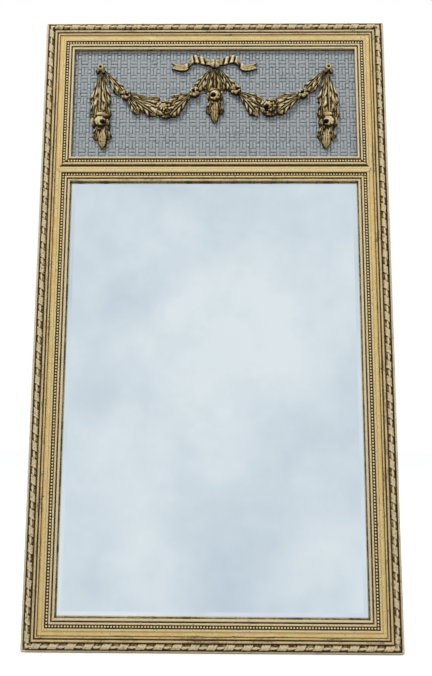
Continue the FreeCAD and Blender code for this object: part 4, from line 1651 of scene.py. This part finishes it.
def cast(name: str, motifs: Iterable[bmesh.types.BMesh], finishes: Finishes, nodes: Sequence[str],
         crease: float = 70.0) -> bpy.types.Object:
    """Join motifs to one casting, gild and place it.

    Args:
        name: the piece's name.
        motifs: the meshes, used up.
        finishes: the materials.
        nodes: the CAD nodes that it stands for.
        crease: edges bent more than this many degrees stay sharp.

    Returns:
        The piece.
    """
    bm = new_mesh()
    for motif in motifs:
        join(bm, motif)
    bmesh.ops.recalc_face_normals(bm, faces=bm.faces)
    layer = bm.verts.layers.float[Mark.WEAR_AND_SHADING.value]
    for vert in bm.verts:
        vert[layer] = min(1.0, max(0.0, vert[layer]))
    return make_piece(name, bm, [finishes["ornament"]], nodes, crease)


def mirrored_rows(rows: Sequence[LeafRow]) -> list[LeafRow]:
    """Leaf rows with left and right swapped."""
    return [(-row[0], row[1], -row[2], *row[3:]) for row in rows]


@dataclass
class Drop:
    """Hanging drop: an eye, a long leaf, a rose and a tip."""

    mirrored: bool
    eye: Point = (-220.5, 37.0)
    eye_radius: float = 6.6
    eye_hole: float = 2.0
    eye_relief: float = 9.0
    rose: Point = (-217.5, 148.5)
    rose_radius: float = 18.5
    rose_eye: Petal = Petal(0.26, -0.16, 0.27, 0.23, 0.15)
    leaves: tuple[LeafRow, ...] = (
        (-222, 54, -8, 66, 21, 3, 0.6, -0.6), (-215, 52, 8, 66, 20, 3, 0.6, -0.3),
        (-219, 43, -1, 94, 28, 4, 0.64, 0.8), (-229, 96, -4, 50, 16, 2, 0.6, 0.4, 0.08),
        (-208, 96, 5, 46, 16, 2, 0.6, 0.2, 0.1), (-221, 152, -10, 34, 16, 2, 0.55, -0.5, 0.1),
        (-209, 152, 12, 34, 16, 2, 0.55, -0.3, 0.12), (-214, 162, 2, 41, 17, 1, 0.42, 0.8, -0.06),
    )

    def build(self, finishes: Finishes) -> None:
        """Make the drop.

        Args:
            finishes: the materials.
        """
        sign, name = (-1, "right") if self.mirrored else (1, "left")
        rows = mirrored_rows(self.leaves) if self.mirrored else self.leaves
        rose = Rose(sign * self.rose[0], self.rose[1], self.rose_radius, self.rose_eye,
                    mirrored=self.mirrored)
        eye_x, eye_drop = sign * self.eye[0], self.eye[1]
        eye = new_mesh()
        add_ring(eye, self.eye_radius, self.eye_hole, self.eye_relief)
        lugs = [Leaf(eye_x, eye_drop + 2, way * 42, 13, 8, 1, 0.6, 0.4).build() for way in (-1, 1)]
        for kind, motifs in (("drop_leaves", [Leaf(*row).build() for row in rows]),
                             ("drop_rose", [rose.build()]),
                             ("hanging_eye", [move_to(eye, eye_x, eye_drop)] + lugs)):
            cast(f"{kind}_cast_{name}", motifs, finishes, [f"{kind}_{name}"])


@dataclass
class Swag:
    """Garland of leaves between a drop and the bow, with a large rose and two small flowers."""

    name: str
    rose: Rose
    flowers: tuple[Rose, ...]
    leaves: tuple[LeafRow, ...]

    def build(self, finishes: Finishes) -> None:
        """Make the swag.

        Args:
            finishes: the materials.
        """
        for kind, motifs in (("leaves", [Leaf(*row) for row in self.leaves]), ("rose", [self.rose]),
                             ("flowers", self.flowers)):
            cast(f"swag_{kind}_cast_{self.name}", [motif.build() for motif in motifs], finishes,
                 [f"swag_{kind}_{self.name}"])


LEFT_SWAG = Swag(
    "left",
    Rose(-93, 124, 18.5, Petal(0.22, -0.3, 0.3, 0.22, 0.2), FULL_PETALS, frill=1.1),
    (small_flower(-169, 95, 10.8, 0.2, -0.16), small_flower(-38, 90, 10.6, -0.24, 0.3)),
    (
        (-213, 46, 33, 58, 15, 3, 0.6, -0.8), (-215, 41, 39, 68, 18, 4, 0.6, 0.4),
        (-150, 102, 66, 64, 26, 3, 0.5, -0.8), (-118, 122, 82, 36, 26, 2, 0.5, -0.8),
        (-164, 95, 80, 36, 12, 2, 0.5, 1.2), (-142, 107, 98, 38, 13, 2, 0.55, 1.4),
        (-165, 97, 54, 66, 21, 4, 0.58, 0.4), (-168, 98, 33, 42, 17, 3, 0.6, 1.2),
        (-46, 95, -64, 58, 22, 3, 0.5, -0.6, 0.1), (-44, 92, -74, 44, 14, 3, 0.5, 0.4),
        (-45, 95, -44, 60, 23, 4, 0.6, 1.2), (-12, 44, -24, 46, 15, 2, 0.6, -0.6, 0.2),
        (-5, 38, -32, 58, 21, 4, 0.6, 0.6),
    ))
RIGHT_SWAG = Swag(
    "right",
    Rose(107, 120, 18.5, Petal(-0.36, -0.1, 0.24, 0.32, 0.2), FULL_PETALS, frill=1.1),
    (small_flower(171, 92, 10.8, -0.2, 0.14), small_flower(42, 85, 10.8, 0.24, 0.1)),
    (
        (215, 44, -34, 54, 14, 3, 0.6, -0.8), (218, 39, -43, 68, 18, 4, 0.6, 0.4),
        (160, 100, -66, 52, 25, 3, 0.5, -0.8), (162, 94, -80, 44, 13, 2, 0.5, 0.6),
        (168, 96, -54, 62, 21, 4, 0.62, 1.0), (52, 95, 60, 46, 25, 3, 0.5, -0.6, 0.1),
        (47, 90, 70, 50, 17, 3, 0.5, 0.8), (47, 92, 40, 58, 22, 4, 0.6, 0.9),
        (14, 44, 24, 46, 15, 2, 0.6, -0.6, 0.2), (8, 38, 32, 58, 20, 4, 0.6, 0.6),
    ))


@dataclass
class CentreDrop:
    """Short drop under the knot."""

    rose: Rose = Rose(1.0, 97, 15.5, Petal(-0.2, -0.04, 0.36, 0.32, 0.15), MIDDLE_PETALS)
    leaves: tuple[LeafRow, ...] = (
        (1, 38, 0, 54, 30, 3, 0.6, -1.6, 0.16), (-6, 44, -12, 46, 16, 3, 0.6, -1.0, 0.1),
        (7, 44, 12, 46, 16, 3, 0.6, -1.0, 0.1), (-3, 101, -15, 34, 15, 2, 0.5, -0.6, 0.12),
        (5, 101, 17, 34, 15, 2, 0.5, -0.4, 0.12), (1, 104, 0, 48, 17, 1, 0.46, 0.6),
    )

    def build(self, finishes: Finishes) -> None:
        """Make the drop.

        Args:
            finishes: the materials.
        """
        leaves = [Leaf(*row).build() for row in self.leaves]
        cast("centre_leaves_cast", leaves, finishes, ["drop_leaves_centre"])
        cast("centre_rose_cast", [self.rose.build()], finishes, ["drop_rose_centre"])


@dataclass
class Bow:
    """Knot with two folded ribbon ends."""

    knot: Point = (1.5, 29.0)
    knot_radius: float = 11.5
    knot_relief: float = 13.0
    band: float = 14.5
    relief: float = 7.5
    path: tuple[Point, ...] = ((7, 29), (18, 25.5), (29, 21.5), (40, 21), (46.5, 26.5), (52, 36), (64, 39),
                               (83, 33.5))
    folds: tuple[float, ...] = (0.15, 0.29, 0.42, 0.66)
    steps: tuple[int, int] = (14, 110)

    def along(self, share: float) -> Vector:
        """Place on the ribbon's middle line.

        Args:
            share: share of the way from the knot, 0 to 1.

        Returns:
            X and drop of the place, with Z unused.
        """
        last = len(self.path) - 1
        step = min(last - 1, int(share * last))
        t = share * last - step
        points = [Vector((*self.path[min(last, max(0, step + k))], 0)) for k in (-1, 0, 1, 2)]
        return 0.5 * ((2 * points[1]) + (points[2] - points[0]) * t
                      + (2 * points[0] - 5 * points[1] + 4 * points[2] - points[3]) * t * t
                      + (3 * points[1] - points[0] - 3 * points[2] + points[3]) * t ** 3)

    def ribbon(self, sign: int) -> bmesh.types.BMesh:
        """One ribbon end.

        Args:
            sign: -1 on the left, 1 on the right.

        Returns:
            The mesh.
        """

        def put(u: float, v: float) -> tuple[Vector, float]:
            """Point of the ribbon's face.

            Args:
                u: share of the way from the knot.
                v: place across, -1 to 1.

            Returns:
                The point and its wear with painted light.
            """
            middle = self.along(u)
            narrow = 0.6 + 0.4 * smooth(0.0, 0.16, u) - 0.16 * smooth(0.55, 0.8, u)
            notch = 8.0 * smooth(0.92, 1.0, u) * (1 - abs(v))
            leaning = u + 0.022 * v
            crease = sum(math.exp(-(((leaning - fold) / 0.019) ** 2)) for fold in self.folds)
            crest = sum(math.exp(-(((leaning - fold - 0.06) / 0.03) ** 2)) for fold in self.folds)
            hem = smooth(0.6, 0.8, abs(v)) - 2.0 * smooth(0.82, 1.0, abs(v))
            wave = 1.1 * math.sin(u * 17.0)
            twist = smooth(0.5, 0.6, u) - smooth(0.7, 0.76, u)
            rise = self.relief - 1.6 - 3.0 * crease + 1.4 * crest + 0.35 * max(0.0, hem) + wave
            # Painted shade in the creases, at the twist and on the dark edges; painted highlights on the
            # crests and the hems.
            wear_and_shading = 0.50 - 0.75 * crease + 0.34 * crest + 0.25 * hem - 0.4 * twist * smooth(-0.6, 0.5, v)
            return (Vector((sign * (middle.x - notch), depth(PANEL_FACE + max(1.5, rise)),
                            PANEL_TOP - middle.y - v * self.band / 2 * narrow)), wear_and_shading)

        bm = relief_patch(*self.steps, put)
        close_down(bm, PANEL_FACE)
        return bm

    def knot_mesh(self) -> bmesh.types.BMesh:
        """Pleated knot with four full lobes and a groove down its middle.

        Returns:
            The mesh.
        """
        bm = new_mesh()
        bmesh.ops.create_uvsphere(bm, u_segments=36, v_segments=24, radius=1.0)
        layer = bm.verts.layers.float[Mark.WEAR_AND_SHADING.value]
        for vert in bm.verts:
            x, y, z = vert.co
            angle = math.atan2(z, x)
            out = math.hypot(x, z)
            pleat = abs(math.sin(2 * angle + 0.2)) ** 0.5
            eye = math.exp(-((x / 0.1) ** 2) - (z / 0.34) ** 2)
            groove = (1 - pleat) * smooth(0.12, 0.4, out)
            swell = 1 - 0.12 * groove
            vert.co = Vector((x * self.knot_radius * 0.98 * swell,
                              y * self.knot_relief * (1 - 0.2 * eye - 0.22 * groove),
                              z * self.knot_radius * 0.86 * swell))
            # Painted shade in the grooves, the eye and round the rim; the lobes are marked light.
            vert[layer] = 0.82 - 0.8 * groove - 0.8 * eye - 0.6 * smooth(0.85, 1.0, out)
        cut_off(bm, Vector((0, 0, 0)), Vector((0, 1, 0)))
        bmesh.ops.translate(bm, vec=(0, depth(PANEL_FACE), 0), verts=bm.verts)
        return move_to(bm, *self.knot)

    def build(self, finishes: Finishes) -> None:
        """Make the bow.

        Args:
            finishes: the materials.
        """
        for sign, name in ((-1, "left"), (1, "right")):
            cast("bow_ribbon_cast_" + name, [self.ribbon(sign)], finishes, ["bow_ribbon_" + name])
        cast("bow_knot_cast", [self.knot_mesh()], finishes, ["bow_knot"])


# ---------------------------------------------------------------- back and hardware
@dataclass
class BackAndHardware:
    """CAD pieces that keep their own shape and only get a finish."""

    finish_of: dict[str, str] = field(default_factory=lambda: {
        "panel_board": "board", "mirror_backboard": "board", "panel_strips": "strip_wood",
        "mirror_strips": "strip_wood", "mirror_silvering": "back_paint", "corner_keys": "key_wood",
        "cross_rail_dowels": "key_wood", "strip_pins": "steel", "hanger_screws": "steel",
        "hanger_strap_left": "steel", "hanger_strap_right": "steel", "hanger_ring_left": "steel",
        "hanger_ring_right": "steel", "wall_bumpers": "felt"})

    def build(self, finishes: Finishes) -> None:
        """Give each node its finish.

        Args:
            finishes: the materials.
        """
        for node, label in self.finish_of.items():
            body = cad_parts[node]
            for slot in body.material_slots:
                slot.material = finishes[label]
            log.info("%s: finish %s", node, label)


# ---------------------------------------------------------------- studio
@dataclass
class Studio:
    """Floor, sky, lamps and camera."""

    floor_size: float = 14.0
    floor_glow: float = 0.78
    lamps: tuple[tuple[str, tuple[float, float, float], float, float], ...] = (
        ("key", (-0.9, -1.6, 3.1), 0.7, 83.0),
        ("fill", (1.7, -2.4, 1.2), 1.8, 16.0),
        ("rim", (0.6, 1.8, 2.2), 1.6, 24.0),
    )
    lit_point: tuple[float, float, float] = (0.0, 0.0, 0.65)
    camera_place: tuple[float, float, float] = (0.0169, -1.1481, 0.3958)
    camera_tilt: float = 7.627
    camera_turn: float = 0.599
    camera_roll: float = 0.220
    sensor: float = 36.0
    focal_share: float = 620 / 676

    def floor(self) -> None:
        """Pale floor that keeps the shadow and isn't seen by the glass."""
        bm = bmesh.new()
        bmesh.ops.create_grid(bm, x_segments=2, y_segments=2, size=self.floor_size / 2)
        mesh = bpy.data.meshes.new("floor")
        bm.to_mesh(mesh)
        bm.free()
        floor = bpy.data.objects.new("floor", mesh)
        bpy.context.scene.collection.objects.link(floor)
        paint = Paint("pale_floor")
        grain = paint.noise(paint.place(), 40.0)
        paint.put("Base Color", paint.mix(grain, tint(178, 178, 177), tint(182, 182, 181)))
        paint.put("Roughness", 0.9)
        paint.put("Specular IOR Level", 0.0)
        paint.put("Emission Color", WHITE)
        seen = paint.node("ShaderNodeLightPath").outputs["Is Camera Ray"]
        paint.put("Emission Strength", paint.maths("MULTIPLY", seen, self.floor_glow))
        mesh.materials.append(paint.material)
        floor.visible_glossy = False

    def sky(self) -> None:
        """White background; gloss sees a pale cloudy sky; plain soft light for the rest."""
        world = bpy.data.worlds.new("pale_sky")
        world.use_nodes = True
        bpy.context.scene.world = world
        graph = Graph(world.node_tree)
        background = next(node for node in world.node_tree.nodes if node.type == "BACKGROUND")
        way = graph.node("ShaderNodeTexCoord").outputs["Generated"]
        billow = graph.noise(way, 3.4, 6.0, 0.58)
        wisp = graph.noise(way, 9.0, 5.0, 0.6)
        cloud = graph.maths("ADD", graph.maths("MULTIPLY", billow, 0.75), graph.maths("MULTIPLY", wisp, 0.25))
        clouds = graph.mix(graph.span(cloud, 0.36, 0.62), tint(206, 216, 226), tint(236, 240, 243))
        path = graph.node("ShaderNodeLightPath")
        colour = graph.mix(path.outputs["Is Glossy Ray"], tint(168, 174, 182), clouds)
        white = graph.maths("MAXIMUM", path.outputs["Is Camera Ray"], path.outputs["Is Transmission Ray"])
        graph.feed(background.inputs["Color"], graph.mix(white, colour, WHITE))
        background.inputs["Strength"].default_value = 1.0

    def lamp(self, name: str, place_at: tuple[float, float, float], size: float, power: float) -> None:
        """Soft square lamp turned towards the object.

        Args:
            name: its name.
            place_at: where it hangs.
            size: its width in metres.
            power: its power in watts.
        """
        light = bpy.data.lights.new(name, "AREA")
        light.shape = "SQUARE"
        light.size = size
        light.energy = power
        lamp = bpy.data.objects.new(name, light)
        lamp.location = place_at
        towards = Vector(self.lit_point) - Vector(place_at)
        lamp.rotation_euler = towards.to_track_quat("-Z", "Y").to_euler()
        lamp.visible_glossy = False
        bpy.context.scene.collection.objects.link(lamp)

    def camera(self) -> None:
        """Camera below the middle, tilted up."""
        data = bpy.data.cameras.new("camera")
        data.lens = self.focal_share * self.sensor
        data.sensor_width = self.sensor
        data.clip_end = 100.0
        camera = bpy.data.objects.new("camera", data)
        turn = (Matrix.Rotation(math.radians(self.camera_turn), 4, "Z")
                @ Matrix.Rotation(math.radians(90 + self.camera_tilt), 4, "X")
                @ Matrix.Rotation(math.radians(self.camera_roll), 4, "Z"))
        camera.matrix_world = Matrix.Translation(self.camera_place) @ turn
        bpy.context.scene.collection.objects.link(camera)
        bpy.context.scene.camera = camera

    def build(self) -> None:
        """Set the whole studio up."""
        self.floor()
        self.sky()
        for name, place_at, size, power in self.lamps:
            self.lamp(name, place_at, size, power)
        self.camera()
        bpy.context.scene.view_settings.view_transform = "Standard"


def main() -> None:
    """Build every piece in order."""
    logging.basicConfig(level=logging.INFO, format="%(name)s %(message)s")
    finishes = Finishes()
    for side, node in ((Side.LEFT, "stile_left"), (Side.RIGHT, "stile_right"), (Side.TOP, "rail_top"),
                       (Side.BOTTOM, "rail_bottom")):
        OuterMember(side, node).build(finishes)
    CrossRail().build(finishes)
    for side in Side:
        RibbonStrip(side).build(finishes)
    BeadRows("panel", PANEL_LOW, PANEL_TOP).build(finishes)
    BeadRows("mirror", GLASS_LOW, GLASS_TOP).build(finishes)
    WeavePanel().build(finishes)
    MirrorGlass().build(finishes)
    for mirrored in (False, True):
        Drop(mirrored).build(finishes)
    LEFT_SWAG.build(finishes)
    RIGHT_SWAG.build(finishes)
    CentreDrop().build(finishes)
    Bow().build(finishes)
    BackAndHardware().build(finishes)
    Studio().build()


if __name__ == "__main__":
    main()
